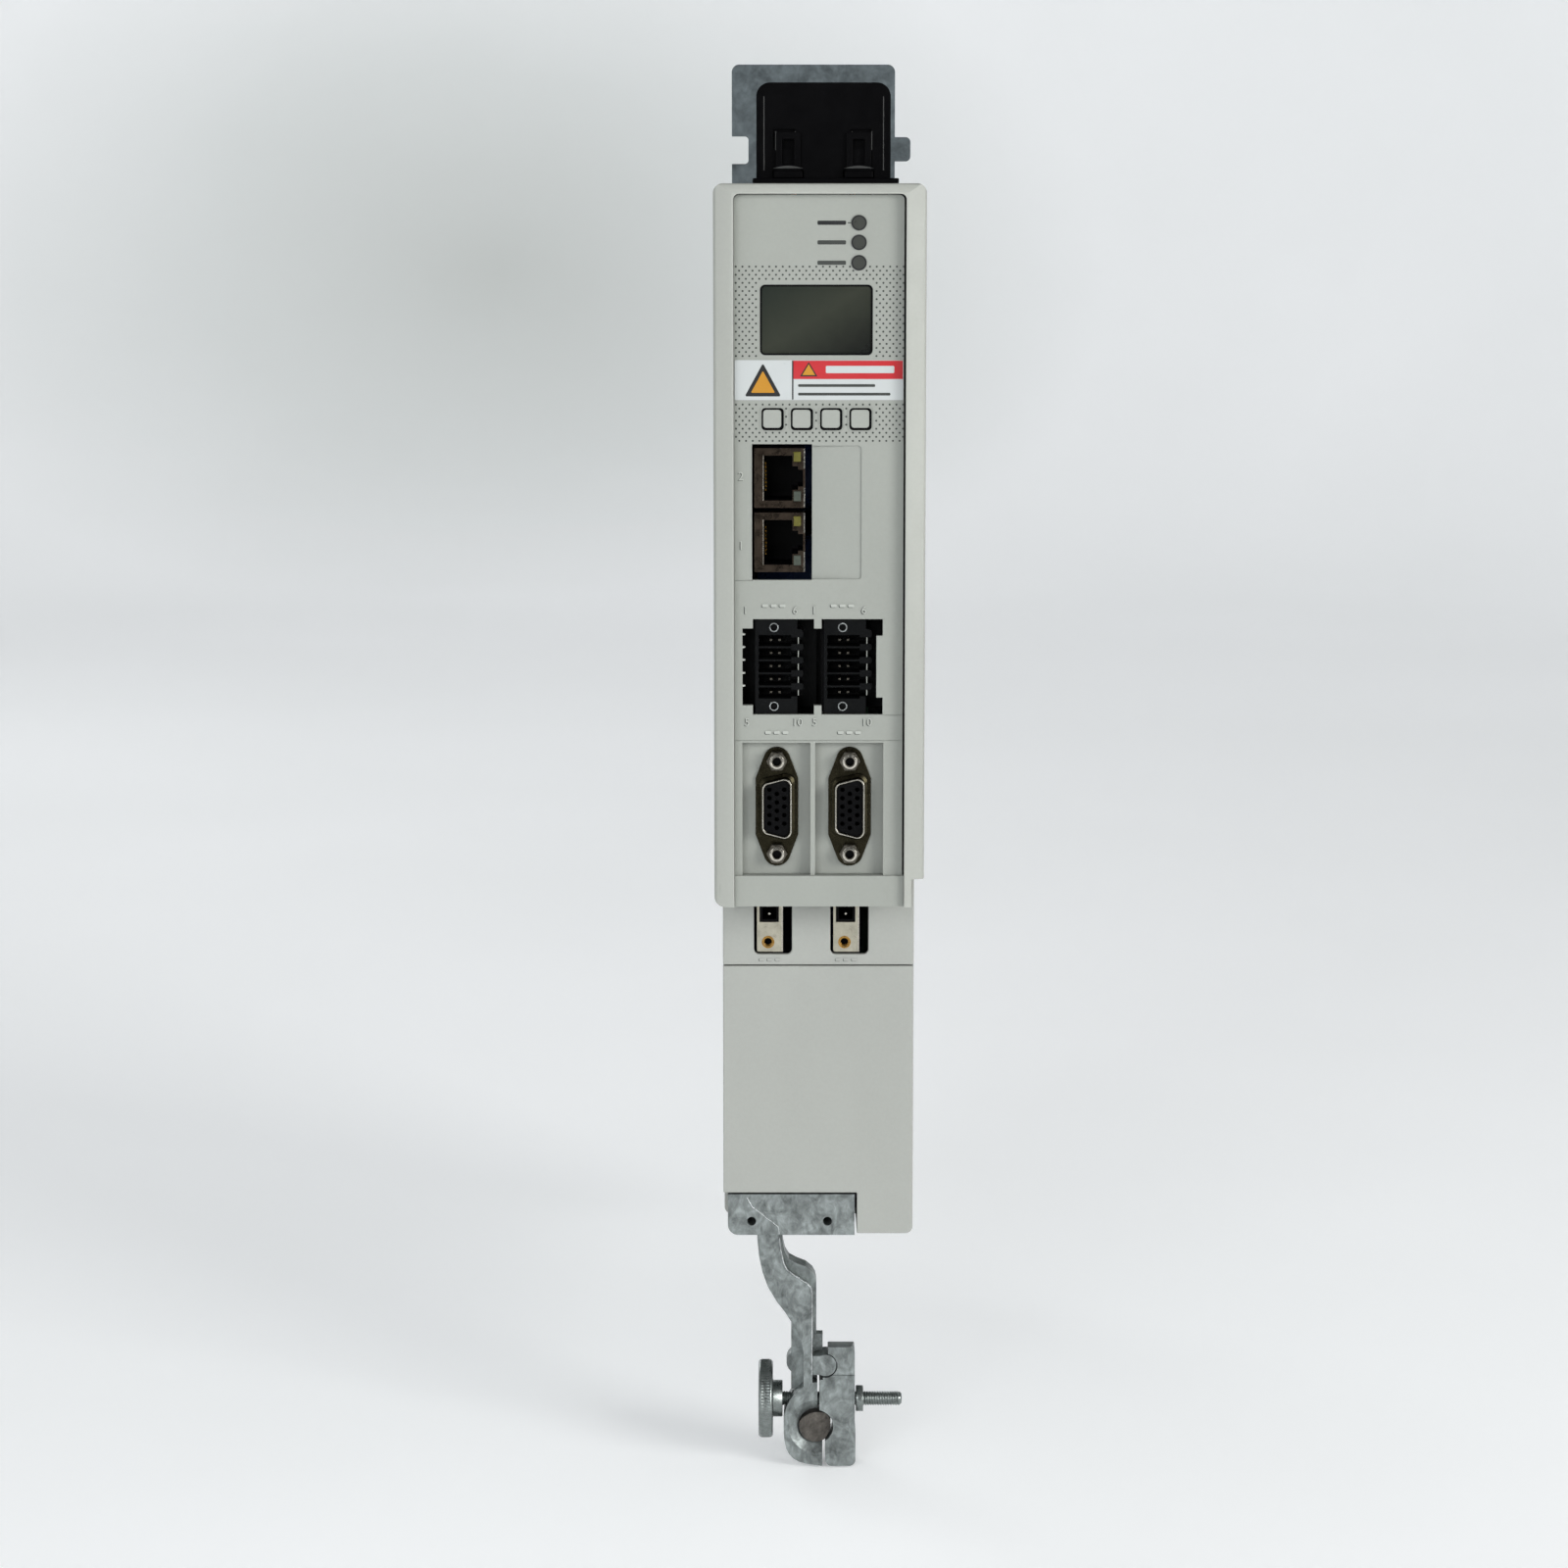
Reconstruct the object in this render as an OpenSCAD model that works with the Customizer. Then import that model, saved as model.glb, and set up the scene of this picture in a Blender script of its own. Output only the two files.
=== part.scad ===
// Book-style dual-axis servo drive with its cable clamp bracket.
// X runs across the front, Y runs from the front back to the panel, Z is up.
// The origin is on the panel face, midway between the two fixing holes.

/* [Body] */
// Overall width of the front shell
body_w = 56; // [54:0.5:60]
// Depth from the panel face to the front bezel
body_d = 252; // [244:1:262]
// Height of the housing top above the origin
top_z = 141; // [139:0.5:143]
// Width of the sheet metal chassis and the lower cover
chassis_w = 52.2; // [51:0.1:52.8]
// Thickness of the sheet metal
sheet_t = 1.2; // [1:0.1:1.5]
// Wall thickness of the plastic shells
wall_t = 2; // [1.6:0.1:2.4]
// Depth by which the lower front stands back from the bezel
step_d = 24; // [22:1:26]

/* [Fixing] */
// Distance between the upper and the lower fixing hole
fixing_pitch = 320; // [316:1:322]
// Diameter of the fixing holes
fixing_d = 6; // [5:0.1:6.6]
// Thickness of the mounting plate
plate_t = 2; // [1.5:0.1:2.5]

/* [Front] */
// Width of each side bar of the bezel
bar_w = 5.35; // [5:0.05:5.5]
// Depth of the front panel behind the bezel
panel_in = 3; // [2.5:0.1:3.2]
// Size of one keypad well
key_well = 5.5; // [5.3:0.1:5.6]
// Distance between keys
key_pitch = 7.72; // [7.6:0.02:7.9]
// Travel of one key
key_travel = 0.5; // [0.3:0.1:0.6]
// Radius of a status light
light_r = 1.75; // [1.5:0.05:1.9]

/* [Connectors] */
// Distance between the jackscrews of a feedback connector
jackscrew_pitch = 24.99; // [24.9:0.01:25.1]
// Distance between terminals of the input and output headers
io_pitch = 3.5; // [3.4:0.1:3.5]
// Distance between the threaded inserts of a header
io_insert_pitch = 21.1; // [21:0.1:21.2]

/* [Clamp] */
// Radius of the clamp bore
bore_r = 4.8; // [4.6:0.1:4.9]
// Depth of the clamp jaws
jaw_d = 10; // [9.5:0.5:12]
// Diameter of the thumb screw head
knob_d = 21.7; // [20:0.1:22]
// Radius of the clamp knuckle
knuckle_r = 3.05; // [2.9:0.05:3.1]

/* [Cooling] */
// Side of the square fan
fan_w = 40; // [38:1:42]
// Number of heat sink fins
fin_count = 10; // [8:1:12]

/* [Hidden] */
$fn = 64;
front_y = -body_d;
panel_y = front_y + panel_in;
lower_y = front_y + step_d;
shell_y = -176;
shell_x = body_w / 2;
chassis_x = chassis_w / 2;
open_x = shell_x - bar_w;
bar_top = 2.7;
step_z = -50.5;
leg_x = 24.6;
leg_z = -43;
seam_z = -70.7;
floor_z = -146;
bay_bottom = -42.2;
plate_top = 179.2;
plate_bottom = -173;
gap = 0.3;
eps = 0.01;

// Front panel openings
key_x0 = -12.5;
key_z = 79.63;
key_foot_y = -245.1;
light_x = 10.25;
light_zs = [130.8, 125.7, 120.4];
display_x = -0.9;
display_z = 105.5;
display_w = 29.2;
display_h = 18;
net_x0 = -17.85;
net_x1 = -2;
net_z0 = 37;
net_z1 = 72.95;
net_ramp_x = 11.1;
jack_w = 13.4;
jack_h = 15.8;
jack_x = -10.56;
jack_zs = [64.06, 47.07];
io_z0 = 1.06;
io_z1 = 26.6;
io_xs = [-17.67, 0.58];
io_w = 16.25;
header_w = 11.2;
header_h = 25;
header_mid_z = 14.15;
bay_z0 = -42.19;
bay_z1 = -6.49;
bay_xs = [-20.5, -1.1];
bay_w = 18.15;
bay_depth = 3.5;
dsub_xs = [-11.3, 8.15];
dsub_z = -24;
dsub_y = panel_y + bay_depth;

// Motor feedback windows in the lower fascia
mf_xs = [-17.6, 3.28];
mf_w = 10.35;
mf_z0 = -67.6;
mf_hole_dx = 3.85;
mf_hole_z = -64.3;

// Cast bracket
block_x0 = -24.9;
block_x1 = 10.1;
block_z0 = -146.5;
block_z1 = -135;
block_hole_xs = [-18.36, 2.6];
block_hole_z = -142.6;
block_hole_r = 1.25;
arm_y = lower_y + 1;
bore_x = -0.5;
bore_z = -201.5;
knuckle_x = 2.1;
knuckle_z = -184.1;
screw_z = -194.5;
screw_y = arm_y + 4.2;
thread_r = 2;
split_x = 0.2;
jaw_x1 = 10.3;

// Internals
board_t = 1.6;
control_x = -21.3;
display_board_y = -243;
power_x = 13;
sink_x = 24;
sink_y0 = -46;
sink_base = 6;
sink_z0 = -118;
sink_z1 = 119.5;
fan_z0 = -144;
fan_t = 15;
fan_y = -23.5;
fan_bore_r = fan_w / 2 - 1.4;

// Extrudes a drawing of the front (across, up) from y0 back to y1.
module slab(y0, y1) {
    translate([0, y1, 0]) rotate([90, 0, 0]) linear_extrude(y1 - y0) children();
}

// Extrudes a drawing of the side (back, up) from x0 to x1.
module side_slab(x0, x1) {
    translate([x0, 0, 0]) rotate([90, 0, 90]) linear_extrude(x1 - x0) children();
}

// A box given by its lowest and highest corners.
module box(a, b) {
    translate(a) cube(b - a);
}

// A rectangle with round corners, from its lowest to its highest corner.
module round_rect(x0, z0, x1, z1, r) {
    translate([x0 + r, z0]) square([x1 - x0 - 2 * r, z1 - z0]);
    translate([x0, z0 + r]) square([x1 - x0, z1 - z0 - 2 * r]);
    for (x = [x0 + r, x1 - r], z = [z0 + r, z1 - r]) {
        translate([x, z]) circle(r);
    }
}

// A round bar along Y.
module rod_y(x, z, y0, y1, r) {
    translate([x, y1, z]) rotate([90, 0, 0]) cylinder(h = y1 - y0, r = r);
}

// A round bar along X.
module rod_x(y, z, x0, x1, r) {
    translate([x0, y, z]) rotate([0, 90, 0]) cylinder(h = x1 - x0, r = r);
}

// A hexagonal bar along Y.
module hex_y(x, z, y0, y1, r) {
    translate([x, y1, z]) rotate([90, 0, 0]) cylinder(h = y1 - y0, r = r, $fn = 6);
}

// Points along an arc, for outlines.
function arc(x, z, r, a0, a1, n) =
    [for (i = [0:n]) [x + r * cos(a0 + (a1 - a0) * i / n), z + r * sin(a0 + (a1 - a0) * i / n)]];

// ---- Sheet metal ----

module mounting_plate() {
    tab_z0 = 148.6;
    tab_z1 = 156.3;
    color("#9a9d9c") difference() {
        slab(-plate_t, 0) difference() {
            union() {
                round_rect(-chassis_x, plate_bottom, chassis_x, plate_top, 2.4);
                round_rect(chassis_x - 4, tab_z0, chassis_x + 5, tab_z1, 1.6);
            }
            round_rect(-chassis_x - 4, tab_z0 - 0.8, -chassis_x + 5.3, tab_z1 + 0.2, 1.2);
            translate([0, -fixing_pitch / 2]) translate([-18, 6]) square([8, 3.2]);
        }
        for (s = [-1, 1]) {
            rod_y(0, s * fixing_pitch / 2, -plate_t - 1, 1, fixing_d / 2);
        }
        rod_y(15, -160, -plate_t - 1, 1, 2.1);
    }
}

// Side wall with louvre slots beside the heat sink and over the power stage.
module side_wall(s) {
    x0 = s > 0 ? chassis_x - sheet_t : -chassis_x;
    difference() {
        side_slab(x0, x0 + sheet_t) difference() {
            translate([shell_y + gap, floor_z]) square([-plate_t - shell_y - gap, top_z - 1 - floor_z]);
            for (z = [-104:9:104]) {
                round_rect(-36, z, -12, z + 3.2, 1.5);
            }
            for (z = [32:8:104]) {
                round_rect(-150, z, -112, z + 2.6, 1.2);
            }
        }
        for (y = [-166, -14], z = [-134, 128]) {
            rod_x(y, z, x0 - 1, x0 + 3, 1.7);
        }
    }
}

module left_side_wall() {
    color("#a3a6a4") side_wall(-1);
}

module right_side_wall() {
    color("#a3a6a4") side_wall(1);
}

module top_panel() {
    x = chassis_x - sheet_t - 0.1;
    color("#a3a6a4") difference() {
        union() {
            box([-x, shell_y + gap, top_z - 1 - sheet_t], [x, -plate_t, top_z - 1]);
            for (s = [-1, 1]) {
                box([s > 0 ? x - 1 : -x, -172, top_z - 20], [s > 0 ? x : -x + 1, -6, top_z - 1]);
            }
        }
        for (x = [-20:5:20]) {
            box([x - 1.3, -48, top_z - 5], [x + 1.3, -10, top_z + 1]);
        }
        box([-15.6, -171, top_z - 5], [15.6, -149, top_z + 1]);
        box([-15.6, -128, top_z - 5], [15.6, -112, top_z + 1]);
        for (s = [-1, 1], y = [-166, -14]) {
            rod_x(y, 128, s > 0 ? x - 3 : -x - 3, s > 0 ? x + 3 : -x + 3, 1.3);
        }
    }
}

module bottom_panel() {
    x = chassis_x - sheet_t - 0.1;
    color("#a3a6a4") difference() {
        union() {
            box([-x, shell_y + gap, floor_z], [x, -plate_t, floor_z + sheet_t]);
            for (s = [-1, 1]) {
                box([s > 0 ? x - 1 : -x, -172, floor_z], [s > 0 ? x : -x + 1, -46, floor_z + 20]);
            }
        }
        translate([0, fan_y, floor_z - 1]) cylinder(h = 4, r = fan_bore_r);
        for (a = [45:90:315]) {
            translate([0, fan_y, floor_z - 1]) rotate(a) translate([22.6, 0, 0]) cylinder(h = 4, r = 1.6);
        }
        for (s = [-1, 1]) {
            box([s * 12.6 - 11.2, -150, floor_z - 1], [s * 12.6 + 11.2, -122, floor_z + 3]);
            box([s * 12.6 - 6.2, -98, floor_z - 1], [s * 12.6 + 6.2, -86, floor_z + 3]);
        }
        for (s = [-1, 1]) {
            rod_x(-166, -134, s > 0 ? x - 3 : -x - 3, s > 0 ? x + 3 : -x + 3, 1.3);
        }
    }
}

// ---- Front shell and panel ----

// Plan of the shell: both side bars slope back to a round outer edge.
module shell_plan() {
    fall = 1.3;
    r = 1.4;
    polygon(concat([[-shell_x, shell_y]],
        arc(-shell_x + r, front_y + fall + r, r, 180, 254, 6),
        [[-open_x - 0.5, front_y], [open_x + 0.5, front_y]],
        arc(shell_x - r, front_y + fall + r, r, 286, 360, 6),
        [[shell_x, shell_y]]));
}

// Side view of the shell, with the same slope along its top edge.
module shell_side() {
    fall = 0.8;
    r = 1.2;
    polygon(concat([[front_y, step_z - 1], [front_y, top_z - bar_top + 0.3]],
        arc(front_y + fall + r, top_z - r, r, 164, 90, 6),
        [[shell_y, top_z], [shell_y, step_z - 1]]));
}

module front_bezel() {
    color("#b3b7b2") difference() {
        intersection() {
            slab(front_y, shell_y) round_rect(-shell_x, step_z, shell_x, top_z, 2.6);
            translate([0, 0, step_z - 1]) linear_extrude(top_z - step_z + 2) shell_plan();
            side_slab(-shell_x - 1, shell_x + 1) shell_side();
        }
        // opening for the panel, and the room behind it
        slab(front_y - 1, shell_y + 1) {
            round_rect(-open_x, 90, open_x, top_z - bar_top, 1.5);
            translate([-open_x, bay_bottom + 0.2]) square([2 * open_x, 100 - bay_bottom]);
        }
        box([-open_x, front_y - 1, step_z - 1], [open_x, lower_y - 14, bay_bottom + 1]);
        box([-open_x, -249, step_z + wall_t], [open_x, shell_y + 1, 0]);
        box([-open_x, lower_y + 0.9, step_z - 1], [open_x, shell_y + 1, 0]);
        box([-shell_x + wall_t, -238, leg_z + 3], [shell_x - wall_t, shell_y + 1, top_z - bar_top]);
        // the right leg ends higher than the left one
        box([leg_x, front_y - 1, step_z - 1], [shell_x + 1, shell_y + 1, leg_z]);
        // cooling slots on both flanks
        for (z = [-24:8:104]) {
            box([-shell_x - 1, -212, z], [shell_x + 1, -188, z + 2.6]);
        }
        // short ejector mark near the end of the left leg
        box([-26.7, front_y - 1, -47.6], [-26.4, front_y + 1.3, -44.4]);
        // opening under the bus connector
        box([-15, -234, top_z - 4], [17, -192, top_z + 1]);
    }
}

module io_openings() {
    for (x = io_xs) {
        translate([x, io_z0]) square([io_w, io_z1 - io_z0]);
    }
    // coding recess left of header a, and the channel between the headers
    translate([-20.45, 3.55]) square([3, 20.57]);
    translate([-2, 3.5]) square([3, 20.6]);
}

module front_panel() {
    back = panel_y + 2.2;
    color("#a6aaa6") difference() {
        union() {
            slab(panel_y, back) round_rect(-open_x + 0.1, -44, open_x - 0.5, top_z - bar_top - 0.2, 1.4);
            // lower band, slightly proud of the panel
            box([-open_x + 0.1, panel_y - 1.2, step_z], [open_x - 0.1, back, bay_bottom]);
            // pockets of the feedback connectors
            for (x = bay_xs) {
                box([x - 1.5, back - 1, bay_z0 - 1.5], [x + bay_w + 1.3, dsub_y + 1.6, bay_z1 + 1.5]);
            }
        }
        slab(panel_y - 1, back + 1) {
            round_rect(display_x - display_w / 2, display_z - display_h / 2,
                display_x + display_w / 2, display_z + display_h / 2, 1.1);
            translate([net_x0, net_z0]) square([net_x1 - net_x0, net_z1 - net_z0]);
            difference() {
                io_openings();
                translate([15.15, 5.65]) square([3, 16.5]);
            }
        }
        for (z = light_zs) {
            rod_y(light_x, z, panel_y - 1, back + 1, light_r + 0.1);
        }
        for (i = [0:3]) {
            x = key_x0 + i * key_pitch;
            slab(panel_y - 1, back + 1)
                round_rect(x - key_well / 2, key_z - key_well / 2, x + key_well / 2, key_z + key_well / 2, 1);
            // raised frame line round the key
            slab(panel_y - 1, panel_y + 0.15) difference() {
                round_rect(x - 3.45, key_z - 3.45, x + 3.45, key_z + 3.45, 1.4);
                round_rect(x - 3.25, key_z - 3.25, x + 3.25, key_z + 3.25, 1.2);
            }
        }
        // finger recess beside the network jacks, deeper towards them
        intersection() {
            slab(panel_y - 1, panel_y + 2) round_rect(net_x1 - 2, net_z0 + 0.2, net_ramp_x, net_z1 - 0.4, 1);
            translate([0, 0, net_z0]) linear_extrude(net_z1 - net_z0)
                polygon([[net_x1 - 3, panel_y - 2], [net_ramp_x + 1, panel_y - 2],
                    [net_ramp_x + 1, panel_y + 0.3], [net_x1 - 3, panel_y + 1.6]]);
        }
        for (x = bay_xs) {
            slab(panel_y - 2, dsub_y) translate([x, bay_z0]) square([bay_w, bay_z1 - bay_z0]);
        }
        // holes for the feedback connectors
        for (x = dsub_xs) {
            slab(dsub_y - 1, dsub_y + 3) round_rect(x - 4.6, dsub_z - 8.6, x + 4.6, dsub_z + 8.6, 1);
            for (s = [-1, 1]) {
                rod_y(x, dsub_z + s * jackscrew_pitch / 2, dsub_y - 1, dsub_y + 3, 1.7);
            }
        }
        // parting lines
        box([-open_x, panel_y - 1, net_z0 - 0.25], [net_x0 + 0.1, panel_y + 0.3, net_z0]);
        box([16.9, panel_y - 1, io_z0 - 0.25], [open_x, panel_y + 0.3, io_z0]);
        box([-open_x, panel_y - 1, bay_z1 + 0.5], [open_x, panel_y + 0.3, bay_z1 + 0.75]);
    }
}

module overlay_label() {
    color("#dcdcd4") slab(panel_y - 0.2, panel_y) round_rect(-22.4, 84.55, 22, 95, 0.4);
}

module display_window() {
    color("#25302b") slab(panel_y + 0.25, panel_y + 1.85)
        round_rect(display_x - display_w / 2 + 0.08, display_z - display_h / 2 + 0.08,
            display_x + display_w / 2 - 0.08, display_z + display_h / 2 - 0.08, 1);
}

module display_module() {
    color("#3a4038") {
        box([display_x - 15.5, -246.6, display_z - 9.5],
            [display_x + 15.5, display_board_y, display_z + 9.5]);
    }
}

module status_lights() {
    color("#5d615e") for (z = light_zs) {
        rod_y(light_x, z, panel_y - 0.25, -246.5, light_r);
        rod_y(light_x, z, -246.6, display_board_y, 1.1);
    }
}

// One keypad key: a cap that stands in its well, with a skirt behind the panel.
module key(i) {
    x = key_x0 + i * key_pitch;
    w = key_well / 2 - 0.4;
    color("#b9bdb9") {
        slab(panel_y - 0.55, -246.5) round_rect(x - w, key_z - w, x + w, key_z + w, 0.8);
        slab(-246.7, -246) round_rect(x - w - 0.8, key_z - w - 0.8, x + w + 0.8, key_z + w + 0.8, 0.6);
        rod_y(x, key_z, -246.1, key_foot_y, 0.9);
    }
}

module key_1() {
    key(0);
}

module key_2() {
    key(1);
}

module key_3() {
    key(2);
}

module key_4() {
    key(3);
}

module key_switches() {
    color("#33363a") for (i = [0:3]) {
        x = key_x0 + i * key_pitch;
        box([x - 2, key_foot_y + key_travel + 0.1, key_z - 2], [x + 2, display_board_y, key_z + 2]);
    }
}

module display_board() {
    color("#2f5d3c") box([-20.5, display_board_y, 75.4], [21, display_board_y + board_t, 135]);
}

// ---- Network jacks ----

module jack(i) {
    z = jack_zs[i];
    color("#8a857c") difference() {
        box([jack_x - jack_w / 2, -249.6, z - jack_h / 2], [jack_x + jack_w / 2, -228, z + jack_h / 2]);
        box([jack_x - jack_w / 2 + 0.35, -249.3, z - jack_h / 2 + 0.35],
            [jack_x + jack_w / 2 - 0.35, -228.4, z + jack_h / 2 - 0.35]);
        plug_cavity(z, -251, -249);
        light_pockets(z, -251, -249);
    }
}

// Plug opening of a jack: contact chamber, shoulder and latch notch.
module plug_cavity(z, y0, y1) {
    box([jack_x - 4.1, y0, z - 5.9], [jack_x + 3.4, y1, z + 5.9]);
    box([jack_x + 3, y0, z - 3.1], [jack_x + 4.9, y1, z + 3.1]);
    box([jack_x + 4.5, y0, z - 2.2], [jack_x + 6.2, y1, z + 2.2]);
}

module light_pockets(z, y0, y1) {
    for (s = [-1, 1]) {
        box([jack_x + 3.65, y0, z + s * 5.2 - 0.95], [jack_x + 5.65, y1, z + s * 5.2 + 1.75]);
    }
}

module ethernet_jack_1() {
    jack(1);
}

module ethernet_jack_2() {
    jack(0);
}

// Plastic body inside each shield, with the plug cavity and its latch notch.
module ethernet_inserts() {
    color("#1d1e1f") for (z = jack_zs) {
        difference() {
            box([jack_x - jack_w / 2 + 0.35, -249.3, z - jack_h / 2 + 0.35],
                [jack_x + jack_w / 2 - 0.35, -228.4, z + jack_h / 2 - 0.35]);
            plug_cavity(z, -250, -234);
            light_pockets(z, -250, -247.4);
        }
    }
}

module ethernet_contacts() {
    color("#c9a24b") for (z = jack_zs, i = [0:7]) {
        box([jack_x - 4, -245, z - 3.7 + i * 1.02], [jack_x - 3.5, -234.2, z - 3.3 + i * 1.02]);
    }
}

module ethernet_lights() {
    color("#9bbf4f") for (z = jack_zs, s = [-1, 1]) {
        box([jack_x + 3.7, -249.75, z + s * 5.2 - 0.9], [jack_x + 5.6, -247.5, z + s * 5.2 + 1.7]);
    }
}

// ---- Input and output headers ----

module io_header(i) {
    x0 = io_xs[i] + 0.6;
    x1 = x0 + header_w;
    z0 = header_mid_z - header_h / 2 - 0.45;
    z1 = header_mid_z + header_h / 2 - 0.45;
    mid = (z0 + z1) / 2;
    color("#26282a") difference() {
        union() {
            box([x0, -247.5, z0], [x1, -232, z1]);
            // round coding lugs along the right edge
            for (k = [-2:2]) {
                rod_y(x1 + 0.3, mid + (k + 0.5) * io_pitch, -247.5, -240, 1.3);
            }
            // base plate behind the window
            box([x0 - (i == 0 ? 3.9 : 0.6), -236, z0 + 0.4], [x0 + (i == 0 ? 16.4 : 16), -233.5, z1 + 0.4]);
        }
        for (k = [-2:2]) {
            box([x0 + 0.9, -249, mid + k * io_pitch - 1.5], [x1 - 1.6, -238, mid + k * io_pitch + 1.5]);
            box([x1 - 1.8, -249, mid + k * io_pitch - 0.9], [x1 + 2, -238, mid + k * io_pitch + 0.9]);
        }
        for (s = [-1, 1]) {
            rod_y(x0 + 5, mid + s * io_insert_pitch / 2, -249, -240, 1.2);
        }
    }
}

module io_header_a() {
    io_header(0);
}

module io_header_b() {
    io_header(1);
}

module io_pins() {
    color("#d8d4c6") for (i = [0, 1], k = [-2:2], c = [0, 1]) {
        x = io_xs[i] + 0.6 + 4.2 + c * 2.25;
        z = header_mid_z - 0.45 + k * io_pitch;
        box([x - 0.32, -245.5, z - 0.32], [x + 0.32, -238, z + 0.32]);
    }
}

// Threaded bushes at both ends of each header.
module io_inserts() {
    color("#c8c8c2") for (i = [0, 1], s = [-1, 1]) {
        x = io_xs[i] + 5.6;
        z = header_mid_z - 0.45 + s * io_insert_pitch / 2;
        difference() {
            rod_y(x, z, -247.7, -240, 1.2);
            rod_y(x, z, -249, -241, 1);
        }
    }
}

// ---- Feedback connectors ----

// Outline of the flange, with both ends narrowed to a round nose.
module dsub_flange() {
    nose = 3.6;
    half = 5.7;
    end = jackscrew_pitch / 2;
    polygon(concat(arc(0, end, nose, 25, 155, 12), [[-half, 7.6], [-half, -7.6]],
        arc(0, -end, nose, 205, 335, 12), [[half, -7.6], [half, 7.6]]));
}

// Outline of the plug shroud, slightly narrower on one side.
module dsub_mouth(inset) {
    w = 3.9 - inset;
    h = 8 - inset;
    r = 1.9 - inset * 0.6;
    polygon(concat(arc(w - r, h - r, r, 0, 98, 6), arc(-w + r, h - r - 1, r, 98, 180, 6),
        arc(-w + r, -h + r + 1, r, 180, 262, 6), arc(w - r, -h + r, r, 262, 360, 6)));
}

module feedback_shell(i) {
    color("#5f594c") difference() {
        translate([dsub_xs[i], 0, dsub_z]) {
            slab(dsub_y - 0.9, dsub_y) dsub_flange();
            slab(dsub_y - 5.6, dsub_y) dsub_mouth(0);
        }
        translate([dsub_xs[i], 0, dsub_z]) slab(dsub_y - 7, dsub_y + 1) dsub_mouth(0.45);
        for (s = [-1, 1]) {
            rod_y(dsub_xs[i], dsub_z + s * jackscrew_pitch / 2, dsub_y - 2, dsub_y + 2, 1.7);
        }
    }
}

module feedback_shell_a() {
    feedback_shell(0);
}

module feedback_shell_b() {
    feedback_shell(1);
}

module feedback_insulators() {
    color("#202022") for (x = dsub_xs) {
        difference() {
            union() {
                translate([x, 0, dsub_z]) slab(dsub_y - 4.8, dsub_y + 1) dsub_mouth(0.5);
                box([x - 4.25, dsub_y + 0.05, dsub_z - 8.25], [x + 4.25, dsub_y + 10, dsub_z + 8.25]);
            }
            // three rows of five contact holes
            for (c = [-1:1], k = [-2:2]) {
                rod_y(x + c * 1.98, dsub_z + (k + (c == 0 ? -0.5 : 0)) * 2.29 + 0.5,
                    dsub_y - 6, dsub_y - 1, 0.62);
            }
        }
    }
}

module feedback_jackscrews() {
    color("#cfcfca") for (x = dsub_xs, s = [-1, 1]) {
        z = dsub_z + s * jackscrew_pitch / 2;
        difference() {
            union() {
                hex_y(x, z, dsub_y - 3.8, dsub_y - 0.9, 2.75);
                rod_y(x, z, dsub_y - 4.4, dsub_y - 3.7, 2.2);
                rod_y(x, z, dsub_y - 1, dsub_y + 5, 1.4);
            }
            rod_y(x, z, dsub_y - 5, dsub_y + 2, 1.15);
        }
    }
}

// ---- Lower front ----

module lower_fascia() {
    y1 = lower_y + wall_t;
    // flank that closes the shorter right leg of the bezel
    color("#a9ada9") box([leg_x + 0.1, lower_y, step_z - 3], [chassis_x, shell_y, leg_z - 0.1]);
    color("#a9ada9") difference() {
        union() {
            slab(lower_y, y1) translate([-chassis_x, seam_z + 0.15]) square([chassis_w, -47 - seam_z]);
            for (s = [-1, 1]) {
                box([s > 0 ? chassis_x - wall_t : -chassis_x, lower_y, seam_z + 0.15],
                    [s > 0 ? chassis_x : -chassis_x + wall_t, shell_y, step_z - 0.1]);
            }
        }
        box([-chassis_x - 1, lower_y - 1, step_z - 0.1], [chassis_x + 1, lower_y + 1, -46]);
        box([open_x, lower_y - 1, step_z - 0.1], [chassis_x + 1, y1 + 1, -46]);
        box([-chassis_x - 1, lower_y - 1, step_z - 0.1], [-open_x, y1 + 1, -46]);
        slab(lower_y - 1, y1 + 1) for (x = mf_xs) {
            round_rect(x, mf_z0, x + mf_w, -45, 1.4);
        }
    }
}

// Plated bracket behind a feedback window, with a threaded bush.
module ground_plate(i) {
    x0 = mf_xs[i] + 0.8;
    x1 = x0 + 7.1;
    color("#b4b0a2") difference() {
        union() {
            slab(lower_y + 0.5, lower_y + 1.5) round_rect(x0, -67, x1, -50.8, 0.6);
            box([x1 - 1, lower_y + 0.5, -67], [x1, lower_y + 14, -50.8]);
            rod_y(mf_xs[i] + mf_hole_dx, mf_hole_z, lower_y + 0.4, lower_y + 8, 2.2);
        }
        box([x0 + 0.7, lower_y - 1, -58.8], [x1 - 1.1, lower_y + 20, -50.7]);
        rod_y(mf_xs[i] + mf_hole_dx, mf_hole_z, lower_y - 1, lower_y + 7, 1.3);
    }
}

module ground_plate_a() {
    ground_plate(0);
}

module ground_plate_b() {
    ground_plate(1);
}

module motor_feedback_sockets() {
    color("#1b1c1d") for (x = mf_xs) {
        x0 = x + 1.6;
        difference() {
            box([x0, lower_y + 0.8, -58.7], [x0 + 5.1, lower_y + 14, -50.8]);
            box([x0 + 0.7, lower_y, -58], [x0 + 4.5, lower_y + 9, -54.6]);
            box([x0 + 0.7, lower_y, -53.8], [x0 + 4.5, lower_y + 9, -51.4]);
        }
        for (z = [-56.3, -52.6]) {
            box([x0 + 2.3, lower_y + 2, z - 0.3], [x0 + 2.9, lower_y + 9.5, z + 0.3]);
        }
    }
}

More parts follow.
